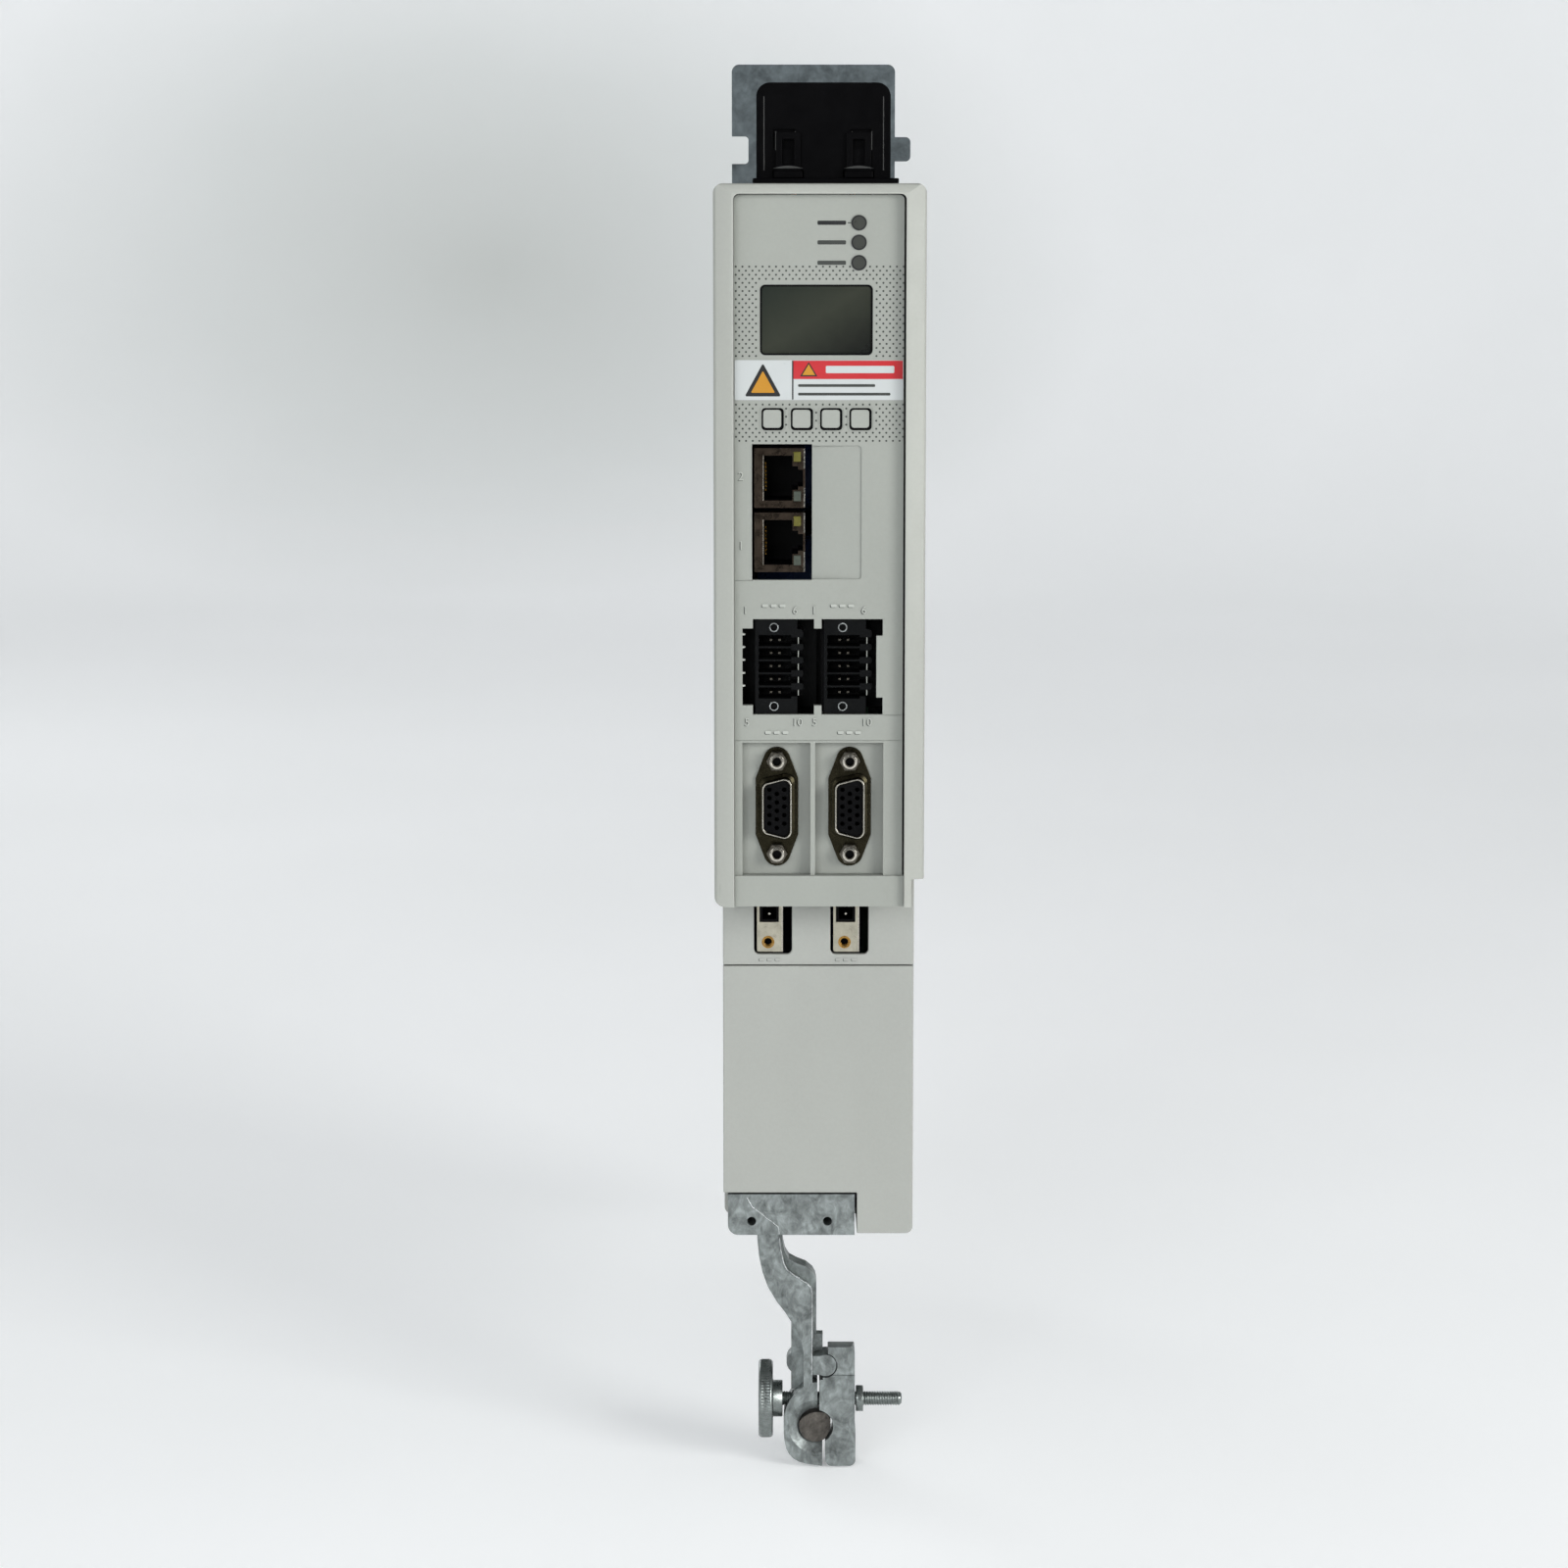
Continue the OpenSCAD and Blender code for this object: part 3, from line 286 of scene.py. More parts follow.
MATERIALS = {
    # plastics
    "bezel": moulded("bezel_plastic", (152, 154, 148), rough=0.5, grain=0.34, depth=0.022),
    "panel": moulded("panel_plastic", (138, 141, 135), rough=0.55, grain=0.3, depth=0.02),
    "cover": moulded("cover_plastic", (149, 151, 146), rough=0.52, grain=0.34, depth=0.022),
    "key": moulded("key_plastic", (141, 144, 138), rough=0.5, grain=0.25, depth=0.01),
    # lighter and darker copies of the panel plastic: the painted highlight and the painted shadow of raised
    # marks
    "relief": moulded("relief_painted_highlight", (158, 161, 155), rough=0.5, grain=0.3, depth=0.01),
    "relief_painted_shadow": moulded("relief_painted_shadow", (66, 69, 65), rough=0.6, grain=0.3, depth=0.01),
    # black and header plastics: the real dark parts, and also the dark fills in gaps, hole bottoms and deep
    # between the headers, as painted shade
    "black": moulded("black_plastic", (8, 8, 9), 0.42, 0.25, 0.012, vary=0.2, spec=0.05),
    "bus": moulded("bus_plastic", (5, 5, 6), 0.38, 0.4, 0.014, vary=0.2, spec=0.035),
    # a lighter copy of the bus plastic, as a painted highlight on its lips and ribs
    "bus_highlight": moulded("bus_rib_highlight", (48, 49, 48), 0.3, 0.4, 0.01, vary=0.2, spec=0.5),
    "dark": moulded("header_plastic", (9, 10, 11), 0.36, 0.25, 0.012, vary=0.2, spec=0.09),
    "fan": moulded("fan_plastic", (22, 22, 24), 0.45, 0.4, 0.02, vary=0.2),
    "component": moulded("component_black", (28, 28, 30), 0.5, 0.3, 0.012, vary=0.2),
    "board": moulded("board_green", (26, 62, 38), 0.4, 0.6, 0.01, vary=0.14),
    "sleeve": moulded("capacitor_sleeve", (24, 36, 66), 0.3, 0.5, 0.006, vary=0.1, spec=0.6),
    "pipe": moulded("light_pipe", (52, 54, 50), 0.3, 0.4, 0.006, vary=0.14, spec=0.4),
    "pipe_green": two_tone("ethernet_light", (86, 82, 9), (58, 65, 56)),
    "glass": display_glass("display_glass"),
    "flag": moulded("black_card", (6, 6, 6), 0.9, 2.0, 0.05, vary=0.3, spec=0.0),
    # print
    "label": moulded("label_film", (174, 178, 178), 0.34, 0.5, 0.003, vary=0.02),
    "ink_black": moulded("ink_black", (24, 25, 26), 0.4, 0.3, 0.002, vary=0.15),
    "ink_grey": moulded("ink_grey", (48, 51, 48), 0.45, 0.3, 0.002, vary=0.1),
    "ink_red": moulded("ink_red", (170, 24, 32), 0.36, 0.4, 0.002, vary=0.05),
    "ink_yellow": moulded("ink_yellow", (172, 120, 14), 0.36, 0.4, 0.002, vary=0.05),
    # metals
    "shield": worn_metal("jack_shield", (69, 60, 52), 0.3, vary=0.1, patch=4.0, depth=0.004, grain=0.6),
    "bronze": worn_metal("bronze_shell", (48, 45, 34), 0.28, vary=0.16, patch=2.4, depth=0.008, grain=0.4),
    # bright nickel: the real metal of the I/O inserts, and also a painted highlight on trim strips, lips and
    # collars
    "nickel": worn_metal("bright_nickel", (190, 186, 176), 0.2, vary=0.1, patch=1.2, depth=0.004, grain=0.3),
    "ground": worn_metal("ground_nickel", (178, 174, 158), 0.36, vary=0.1, patch=2.5, depth=0.008, grain=0.4),
    "gold": worn_metal("gold_contact", (170, 130, 66), 0.24, patch=1.0, depth=0.004, grain=0.3),
    "copper": worn_metal("copper", (198, 128, 84), 0.3, patch=2.0, depth=0.006, grain=0.4),
    "zinc": worn_metal("zinc_plate", (134, 140, 138), 0.32, patch=1.6, depth=0.008, grain=0.35),
    "hex": worn_metal("dull_nickel", (104, 100, 92), 0.3, vary=0.14, patch=1.2, depth=0.006, grain=0.3),
    "fin": worn_metal("fin_aluminium", (164, 168, 170), 0.4, vary=0.08, patch=3.0, depth=0.012, grain=0.5),
    "winding": worn_metal("winding", (150, 110, 60), 0.4, patch=1.5, depth=0.02, grain=0.3),
    "cast": cast_metal("cast_zinc", (128, 134, 133)),
    "spacer": cast_metal("spacer_alloy", (90, 86, 81), 0.5),
    # a brighter copy of the cast metal, as a painted highlight on ridges and insert rims
    "rim": cast_metal("rim_painted_highlight", (176, 180, 180), 0.28),
    "steel": galvanised("galvanised_steel", (90, 98, 101)),
}
USES = {
    "steel": "mounting_plate left_side_wall right_side_wall top_panel bottom_panel",
    "bezel": "front_bezel",
    "panel": "front_panel",
    "cover": "lower_fascia lower_cover",
    "label": "overlay_label",
    "glass": "display_window",
    "pipe": "status_lights",
    "pipe_green": "ethernet_lights",
    "key": "key_1 key_2 key_3 key_4",
    "black": "ethernet_inserts feedback_insulators motor_feedback_sockets key_switches",
    "bus": "bus_base bus_housing bus_latches",
    "dark": "display_module io_header_a io_header_b control_power_socket safe_torque_header"
            " motor_power_sockets brake_sockets",
    "shield": "ethernet_jack_1 ethernet_jack_2",
    "bronze": "feedback_shell_a feedback_shell_b",
    "nickel": "io_inserts",
    "hex": "feedback_jackscrews io_pins",
    "ground": "ground_plate_a ground_plate_b",
    "gold": "ethernet_contacts ground_screw",
    "copper": "bus_contacts",
    "board": "display_board control_board power_board",
    "sleeve": "capacitors",
    "component": "power_module current_sensors",
    "winding": "transformer",
    "fin": "heat_sink",
    "fan": "fan_frame fan_rotor",
    "cast": "clamp_bracket clamp_jaw",
    "spacer": "clamp_spacer",
    "zinc": "fan_guard screw_nut thumb_screw chassis_screws",
}


def dress():
    """Gives every CAD node its material, and makes sure that none is left out."""
    dressed = set()
    for key, names in USES.items():
        for name in names.split():
            node = NODES[name]
            node.data.materials.clear()
            node.data.materials.append(MATERIALS[key])
            dressed.add(name)
    assert dressed == set(NODES), sorted(set(NODES) - dressed)


# ---------------------------------------------------------------- edges of the CAD nodes

# cast and moulded parts have rounder edges than cut ones, in millimetres
EDGE = {"cast": 0.75, "bus": 0.3, "bezel": 0.3, "cover": 0.3, "key": 0.25, "steel": 0.3}
FINE_EDGE = 0.12
FLAT_SIDED = ("bezel", "panel", "cover", "steel")
SHARP_ANGLE = math.radians(32)
FLAT_ANGLE = math.radians(0.4)
WELD_GAP = 2e-6


def soften(obj, width, segments=2):
    """Rounds the sharp edges of a piece."""
    bevel = obj.modifiers.new("bevel", "BEVEL")
    bevel.width = width * MM
    bevel.segments = segments
    bevel.limit_method = "ANGLE"
    bevel.angle_limit = SHARP_ANGLE
    bevel.harden_normals = True
    return bevel


def merge_flat_faces(node):
    """Joins the triangles of each flat face, so that the bevel finds whole faces."""
    whole = node.modifiers.new("whole_faces", "DECIMATE")
    whole.decimate_type = "DISSOLVE"
    whole.angle_limit = FLAT_ANGLE


def soften_nodes():
    """Welds and rounds every carried-over solid."""
    for key, names in USES.items():
        for name in names.split():
            node = NODES[name]
            node.modifiers.new("weld", "WELD").merge_threshold = WELD_GAP
            if key in FLAT_SIDED:
                merge_flat_faces(node)
            bevel = soften(node, EDGE.get(key, FINE_EDGE), 3 if key == "cast" else 2)
            if key in FLAT_SIDED:
                bevel.harden_normals = False
                node.modifiers.new("normals", "WEIGHTED_NORMAL").weight = 100


# ---------------------------------------------------------------- outlines and solids

def rectangle(x0, x1, z0, z1):
    """Outline of a rectangle with square corners."""
    return [(x0, z0), (x1, z0), (x1, z1), (x0, z1)]


def rounded(x0, x1, z0, z1, r, n=5):
    """Outline of a rectangle with round corners of n steps each."""
    points = []
    corners = ((x1 - r, z1 - r, 0), (x0 + r, z1 - r, 90), (x0 + r, z0 + r, 180), (x1 - r, z0 + r, 270))
    for cx, cz, start in corners:
        for i in range(n + 1):
            a = math.radians(start + 90 * i / n)
            points.append((cx + r * math.cos(a), cz + r * math.sin(a)))
    return points


def around(box, grow, r):
    """Outline that lies grow outside a box."""
    return rounded(box.x0 - grow, box.x1 + grow, box.z0 - grow, box.z1 + grow, r)


def square(x, z, half, r):
    """Outline of a square with round corners."""
    return rounded(x - half, x + half, z - half, z + half, r)


def bar(x, z, half_w, half_h, r=0.3):
    """Outline of a short bar with blunt corners."""
    return rounded(x - half_w, x + half_w, z - half_h, z + half_h, r, 2)


def circle(x, z, r, n=24):
    """Outline of a circle."""
    turns = (2 * math.pi * i / n for i in range(n))
    return [(x + r * math.cos(a), z + r * math.sin(a)) for a in turns]


class Build:
    """Collects flat-fronted solids, in millimetres, into one mesh piece."""

    def __init__(self):
        self.bm = bmesh.new()

    def vert(self, x, y, z):
        return self.bm.verts.new((x * MM, y * MM, z * MM))

    def face(self, verts, kind=0, smooth=False):
        f = self.bm.faces.new(verts)
        f.material_index = kind
        f.smooth = smooth

    def slab(self, outline, y0, y1, kind=0):
        """An outline (x, z), counter-clockwise seen from the front, from y0 back to y1."""
        front = [self.vert(x, y0, z) for x, z in outline]
        back = [self.vert(x, y1, z) for x, z in outline]
        self.face(front, kind)
        self.face(back[::-1], kind)
        n = len(outline)
        for i in range(n):
            j = (i + 1) % n
            self.face((front[j], front[i], back[i], back[j]), kind)

    def ring(self, outer, inner, y0, y1, rise=0.0):
        """A closed band between two outlines with the same number of points."""
        n = len(outer)
        fo = [self.vert(x, y0, z) for x, z in outer]
        fi = [self.vert(x, y0 - rise, z) for x, z in inner]
        bo = [self.vert(x, y1, z) for x, z in outer]
        bi = [self.vert(x, y1, z) for x, z in inner]
        for i in range(n):
            j = (i + 1) % n
            self.face((fo[i], fo[j], fi[j], fi[i]))
            self.face((bo[j], bo[i], bi[i], bi[j]))
            self.face((fo[j], fo[i], bo[i], bo[j]))
            self.face((fi[i], fi[j], bi[j], bi[i]))

    def turned(self, y, z, rows, n, radius):
        """A body of revolution along X: rows of x, radius(row, angle) gives the radius; ends are capped."""
        loops = []
        for i, x in enumerate(rows):
            loop = []
            for k in range(n):
                a = 2 * math.pi * k / n
                r = radius(i, a)
                loop.append(self.vert(x, y + r * math.cos(a), z + r * math.sin(a)))
            loops.append(loop)
        for a, b in zip(loops, loops[1:]):
            for k in range(n):
                j = (k + 1) % n
                self.face((a[k], a[j], b[j], b[k]), smooth=True)
        self.face(loops[0][::-1])
        self.face(loops[-1])

    def piece(self, name, materials, slot, body="root", replaces=None, bevel=0.0):
        """Turns what was collected into a piece that rides on a body."""
        bmesh.ops.recalc_face_normals(self.bm, faces=self.bm.faces)
        mesh = bpy.data.meshes.new(name)
        self.bm.to_mesh(mesh)
        self.bm.free()
        for m in materials:
            mesh.materials.append(MATERIALS[m])
        obj = bpy.data.objects.new(name, mesh)
        scene.collection.objects.link(obj)
        if bevel:
            soften(obj, bevel)
        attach(obj, body)
        if replaces:
            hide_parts(replaces)


# ---------------------------------------------------------------- front panel print and marks

DISPLAY = Box("display_window")
LABEL = Box("overlay_label")
LAMPS = Box("status_lights")
KEYS = [Box(f"key_{i}") for i in range(1, 5)]
PANEL_Y = DISPLAY.y0 - 0.25          # front face of the panel
INK = 0.02                           # how far print stands out


def dot_is_covered(x, z):
    """Whether a dot would meet the display, the label, a key or the lowest light."""
    clear, key_clear, lamp_clear = 0.9, 3.65, 2.3
    lowest_lamp = LAMPS.z0 + LAMPS.width - 1.75
    on_display = (DISPLAY.x0 - clear < x < DISPLAY.x1 + clear
                  and DISPLAY.z0 - clear < z < DISPLAY.z1 + clear)
    on_label = LABEL.z0 - 0.4 < z < LABEL.z1 + 0.4
    on_key = any(abs(x - key.x) < key_clear and abs(z - key.z) < key_clear for key in KEYS)
    on_lamp = math.hypot(x - LAMPS.x, z - lowest_lamp) < lamp_clear
    return on_display or on_label or on_key or on_lamp


def dots():
    """Printed dot pattern round the display and the keys, in staggered rows."""
    b = Build()
    pitch, row_step, r = 1.76, 1.06, 0.28
    left, right, top, bottom = -22.05, 22.1, 119.4, 73.2
    row, z = 0, top
    while z > bottom:
        x = left + (pitch / 2 if row % 2 else 0)
        while x < right:
            if not dot_is_covered(x, z):
                b.slab(circle(x, z, r, 10), PANEL_Y - INK, PANEL_Y + INK)
            x += pitch
        z -= row_step
        row += 1
    b.piece("overlay_dots", ["ink_grey"], slot="label_film")


def blunt_triangle(x, base, top, half, k):
    """Triangle with blunt corners, shrunk by k."""
    corners = [(x - half + 1.7 * k, base + k), (x + half - 1.7 * k, base + k), (x, top - 2.1 * k)]
    cut = 0.4 * (1 - 0.4 * k)
    points = []
    for i, (cx, cz) in enumerate(corners):
        for j in (i - 1, i + 1):
            px, pz = corners[j % 3]
            d = math.hypot(px - cx, pz - cz)
            points.append((cx + (px - cx) / d * cut, cz + (pz - cz) / d * cut))
    return points


def label_print():
    """Plain coloured fields on the label strip: no lettering."""
    b = Build()
    black, red, yellow, white, grey = range(5)
    y0, y1 = LABEL.y0 - INK, LABEL.y0 + 0.01
    edge, line_left, line_right, field_z = 0.12, -7.3, -6.92, 90.05
    low, high = LABEL.z0 + edge, LABEL.z1 - edge
    b.slab(rectangle(line_left, line_right, low, high), y0, y1, black)
    b.slab(rectangle(line_right, LABEL.x1 - edge, field_z, high), y0, y1, red)

    sign = (-14.95, 85.5, 94.2, 4.8)
    border = 0.95
    b.ring(blunt_triangle(*sign, 0), blunt_triangle(*sign, border), y0, y1)
    b.slab(blunt_triangle(*sign, border), y0 - 0.008, y1, yellow)
    x = -2.9
    b.slab([(x - 2.3, 90.75), (x + 2.3, 90.75), (x, 94.5)], y0 - 0.01, y1, black)
    b.slab([(x - 1.7, 91.1), (x + 1.7, 91.1), (x, 93.9)], y0 - 0.018, y1, yellow)

    b.slab(rounded(1.6, 19.6, 91.6, 93.5, 0.3, 3), y0 - 0.01, y1, white)
    for x1, z in ((14.6, 88.35), (18.6, 86.1)):
        b.slab(rounded(-5.7, x1, z - 0.36, z + 0.36, 0.25, 3), y0, y1, grey)
    b.piece("label_print", ["ink_black", "ink_red", "ink_yellow", "label", "ink_grey"], slot="label_film")


def display_border():
    """Black border round the glass, and the low lip of the panel round it."""
    b = Build()
    b.ring(around(DISPLAY, 0.3, 1.35), around(DISPLAY, -0.18, 0.95), PANEL_Y - 0.05, PANEL_Y + 0.4)
    b.piece("display_border", ["black"], slot="black_plastic", bevel=0.04)
    b = Build()
    b.ring(around(DISPLAY, 0.62, 1.65), around(DISPLAY, 0.34, 1.38), PANEL_Y - 0.04, PANEL_Y + 0.05)
    b.piece("display_surround", ["panel"], slot="panel_plastic", bevel=0.03)


def key_gap_painted_shade():
    """Painted shade round each key cap: a dark frame that fills the gap, and a dark lip wider below and on
    the right as a painted shadow.
    """
    b = Build()
    flange, gap = 0.8, 0.4
    for key in KEYS:
        x, z = key.x, key.z
        cap = key.width / 2 - flange
        well = key.width / 2 - gap
        # painted shade: a dark fill in the gap between each key cap and its well
        b.ring(square(x, z, well, 1), square(x, z, cap + 0.04, 0.82), PANEL_Y - 0.1, PANEL_Y + 1.2)
        # painted shadow: a dark lip that reaches further below and on the right
        lip = rounded(x - well - 0.08, x + well + 0.3, z - well - 0.3, z + well + 0.08, 1)
        b.ring(lip, square(x, z, well - 0.02, 1), PANEL_Y - 0.05, PANEL_Y + 0.02)
    b.piece("key_gap_painted_shade", ["black"], slot="black_plastic")


def lamp_rims():
    """Dark rim of each status light, and a plain bar in place of its name."""
    b = Build()
    black, grey = 0, 1
    x, r = LAMPS.x, LAMPS.width / 2
    top = LAMPS.z1 - r
    for z, ink in ((top, black), (LAMPS.z + 0.1, grey), (LAMPS.z0 + r, grey)):
        b.ring(circle(x, z, r + 0.28, 40), circle(x, z, r - 0.14, 40), PANEL_Y - 0.3, PANEL_Y + 0.02)
        b.slab(rounded(x - 10.9, x - 3.4, z - 0.55, z + 0.55, 0.3, 3), PANEL_Y - INK, PANEL_Y + 0.01, ink)
    leader = rounded(x - 3.0, x - r - 0.3, top - 0.12, top + 0.12, 0.1, 2)
    b.slab(leader, PANEL_Y - INK, PANEL_Y + 0.01, black)
    b.piece("light_rims", ["ink_black", "ink_grey"], slot="black_plastic")


def write_number(b, text, x, z, size, height, kind):
    """Adds a raised number to a build, centred at x, z on the panel."""
    curve = bpy.data.curves.new("numeral", "FONT")
    curve.body = text
    curve.size = size * MM
    curve.align_x = "CENTER"
    curve.align_y = "CENTER"
    curve.extrude = height * MM
    curve.resolution_u = 3
    obj = bpy.data.objects.new("numeral", curve)
    scene.collection.objects.link(obj)
    bpy.context.view_layer.update()
    shape = obj.evaluated_get(bpy.context.evaluated_depsgraph_get())
    mesh = bpy.data.meshes.new_from_object(shape)
    place = Matrix.Translation((x * MM, PANEL_Y * MM, z * MM))
    mesh.transform(place @ Matrix.Rotation(math.pi / 2, 4, "X"))
    start = len(b.bm.faces)
    b.bm.from_mesh(mesh)
    b.bm.faces.ensure_lookup_table()
    for f in b.bm.faces[start:]:
        f.material_index = kind
    bpy.data.objects.remove(obj)
    bpy.data.meshes.remove(mesh)
    bpy.data.curves.remove(curve)


def numerals():
    """Raised port and pin numbers, and plain raised bars where a port has a name, in a lighter plastic as a
    painted highlight, each with a dark offset copy beneath as a painted shadow.
    """
    b = Build()
    light, dark = 0, 1
    places = [("2", -20.75, 64.4, 3.2), ("1", -20.75, 46.1, 3.2)]
    places += [(n, x, 28.9, 2.9) for n, x in (("1", -19.6), ("6", -6.4), ("1", -1.4), ("6", 11.8))]
    places += [(n, x, -1.0, 2.9) for n, x in (("5", -19.2), ("10", -5.8), ("5", -1.2), ("10", 12.6))]
    for text, x, z, size in places:
        # painted highlight in the lighter relief plastic, and a painted shadow: a thin dark copy offset down
        # and left
        write_number(b, text, x, z, size, 0.34, light)
        write_number(b, text, x - 0.22, z - 0.17, size, 0.06, dark)
    for name_x, z in ((-12.1, 30.2), (6.1, 30.2), (-11.3, -3.7), (8.0, -3.7)):
        for k in (-1, 0, 1):
            x = name_x + 2.3 * k
            b.slab(bar(x, z, 0.8, 0.4), PANEL_Y - 0.3, PANEL_Y + 0.05, light)
            # painted shadow: a dark copy of each bar, offset down and left
            b.slab(bar(x - 0.22, z - 0.17, 0.8, 0.4), PANEL_Y - 0.05, PANEL_Y + 0.05, dark)
    b.piece("numerals", ["relief", "relief_painted_shadow"], slot="panel_plastic")


def fascia_marks():
    """Raised bars under the two lower windows, each with a dark offset copy as a painted shadow, and a ring
    mark on the left of each.
    """
    b = Build()
    light, dark = 0, 1
    y = Box("lower_fascia").y0
    bar_z, mark_z = -69.1, -54.2
    for node in ("ground_plate_a", "ground_plate_b"):
        plate = Box(node)
        for k in (-1, 0, 1):
            x = plate.x + 2.2 * k
            b.slab(bar(x, bar_z, 0.75, 0.4, 0.25), y - 0.25, y + 0.05, light)
            # painted shadow: a dark copy of each bar, offset down and left
            b.slab(bar(x - 0.15, bar_z - 0.12, 0.75, 0.4, 0.25), y - 0.05, y + 0.05, dark)
        x = plate.x0 - 5.0
        b.ring(circle(x, mark_z, 0.95), circle(x, mark_z, 0.65), y - 0.12, y + 0.05)
        b.slab(rounded(x + 1.4, x + 2.6, -54.6, -53.9, 0.2, 2), y - 0.12, y + 0.05, light)
    b.piece("fascia_marks", ["cover", "relief_painted_shadow"], slot="cover_plastic")


# ---------------------------------------------------------------- connectors

def mouth(x, z, inset):
    """The D outline of a feedback connector, longer on its right side."""
    w, h, r = 3.9 - inset, 8 - inset, 1.9 - inset * 0.6
    slope, steps = 1, 8
    corners = ((w - r, h - r, 0, 98), (-w + r, h - r - slope, 98, 180),
               (-w + r, -h + r + slope, 180, 262), (w - r, -h + r, 262, 360))
    points = []
    for cx, cz, a0, a1 in corners:
        for i in range(steps + 1):
            a = math.radians(a0 + (a1 - a0) * i / steps)
            points.append((x + cx + r * math.cos(a), z + cz + r * math.sin(a)))
    return points


def feedback_trim():
    """Rolled lip in bright nickel as a painted highlight, and the pressed step round each connector mouth."""
    for tag in "ab":
        shell = Box(f"feedback_shell_{tag}")
        x, z, front, flange = shell.x, shell.z, shell.y0, shell.y1 - 0.9
        b = Build()
        # painted highlight: the rolled lip in bright nickel on the dark shell
        b.ring(mouth(x, z, -0.02), mouth(x, z, 0.34), front - 0.1, front + 0.8)
        b.piece(f"feedback_lip_highlight_{tag}", ["nickel"], slot="bright_nickel", bevel=0.12)
        b = Build()
        b.ring(mouth(x, z, -0.95), mouth(x, z, -0.02), flange - 0.7, flange + 0.02, rise=0.5)
        b.piece(f"feedback_step_{tag}", ["bronze"], slot="bronze_shell", bevel=0.15)


def jackscrew_highlights_and_shade():
    """Collar of each jackscrew in bright nickel as a painted highlight, and a black disc at the bottom of its
    thread as painted shade.
    """
    b = Build()
    screws = Box("feedback_jackscrews")
    y, half_hex = screws.y0, 2.4
    for tag in "ab":
        x = Box(f"feedback_shell_{tag}").x
        for z in (screws.z0 + half_hex, screws.z1 - half_hex):
            # painted highlight: a bright nickel ring on the dull screw
            b.ring(circle(x, z, 1.95, 40), circle(x, z, 1.35, 40), y - 0.1, y + 0.5, rise=0.1)
            # painted shade: a black disc deep in the threaded hole
            b.slab(circle(x, z, 1.14, 32), y + 1.6, y + 1.9, 1)
    b.piece("jackscrew_highlights_and_shade", ["nickel", "black"], slot="bright_nickel", bevel=0.06)


def header_trim():
    """Scalloped wall of each header, with painted light: bright insert rims and a pale strip on the header's
    edge as painted highlights, and dark discs in the inserts and a dark sheet deep between the two headers as
    painted shade.
    """
    walls, strips, rims = Build(), Build(), Build()
    pins = Box("io_pins")
    y = Box("io_header_a").y0
    pitch, scallop_h, bulge, insert_x, insert_dz = 3.5, 3.0, 0.95, 5, 10.55
    for left in (pins.x0 - 3.88, pins.x1 - 6.77):
        for row in range(-2, 3):
            low = pins.z + pitch * row - scallop_h / 2
            arc = [(left + 0.12 + bulge * math.sin(math.pi * i / 8) ** 0.7, low + scallop_h * i / 8)
                   for i in range(9)]
            walls.slab(arc, y + 0.3, y + 3.0)
        # painted highlight: a pale strip on the header's right edge
        strips.slab(rounded(left + 11.35, left + 11.6, 6.0, 22.4, 0.1, 2), y + 0.4, y + 4)
        for side in (-1, 1):
            x, z = left + insert_x, pins.z + side * insert_dz
            # painted shade: a dark disc inside each threaded insert
            walls.slab(circle(x, z, 0.98, 28), y + 1.3, y + 1.6)
            # painted highlight: a bright rim round each insert's mouth
            rims.ring(circle(x, z, 1.22, 32), circle(x, z, 0.96, 32), y - 0.26, y + 0.3)
    between = pins.x + 1.7
    # painted shade: a dark sheet deep between the two headers
    shield = rounded(between - 5.8, between + 2.4, pins.z - 18, pins.z + 13, 0.5, 2)
    walls.slab(shield, y + 15.7, y + 16.3)
    walls.piece("header_scallops", ["dark"], slot="dark_plastic", bevel=0.08)
    rims.piece("insert_rim_highlights", ["rim"], slot="bright_nickel", bevel=0.04)
    strips.piece("header_edge_highlights", ["panel"], slot="panel_plastic", bevel=0.04)


def coding_teeth():
    """Small teeth along the left edge of the first header's window, pale from a painted highlight in the
    lighter relief plastic.
    """
    b = Build()
    root_x, tip_x = -20.5, -19.7
    for z in (22.5, 19.1, 15.7, 12.2, 8.8):
        tooth = [(root_x, z - 0.3), (tip_x, z - 0.12), (tip_x, z + 0.12), (root_x, z + 0.3)]
        # painted highlight: the lighter relief plastic
        b.slab(tooth, PANEL_Y + 0.15, PANEL_Y + 1.8)
    b.piece("coding_teeth", ["relief"], slot="panel_plastic")


def jack_trim():
    """Spring tabs, and painted highlights in bright nickel on the cut edge on the right and the ridge on the
    left of each plug opening.
    """
    tabs, edges = Build(), Build()
    for i in (1, 2):
        jack = Box(f"ethernet_jack_{i}")
        x, z, y, right = jack.x - 0.7, jack.z, jack.y0, jack.x1
        for sign in (-1, 1):
            z0, z1 = sorted((z + sign * 5.95, z + sign * 6.25))
            for dx in (-1.5, 0.7):
                tabs.slab(rounded(x + dx, x + dx + 1.1, z0, z1, 0.1, 2), y - 0.12, y + 1.2)
            low, high = sorted((z + sign * 2.5, z + sign * 7.75))
            # painted highlights: bright nickel strips on the jack's right edge and left ridge
            edges.slab(rectangle(right - 0.36, right - 0.04, low, high), y - 0.08, y + 0.2)
        edges.slab(rectangle(x - 3.75, x - 3.55, z - 6, z + 6), y - 0.08, y + 0.1)
    tabs.piece("jack_tabs", ["shield"], slot="jack_shield")
    edges.piece("jack_edge_highlights", ["nickel"], slot="jack_shield", bevel=0.04)


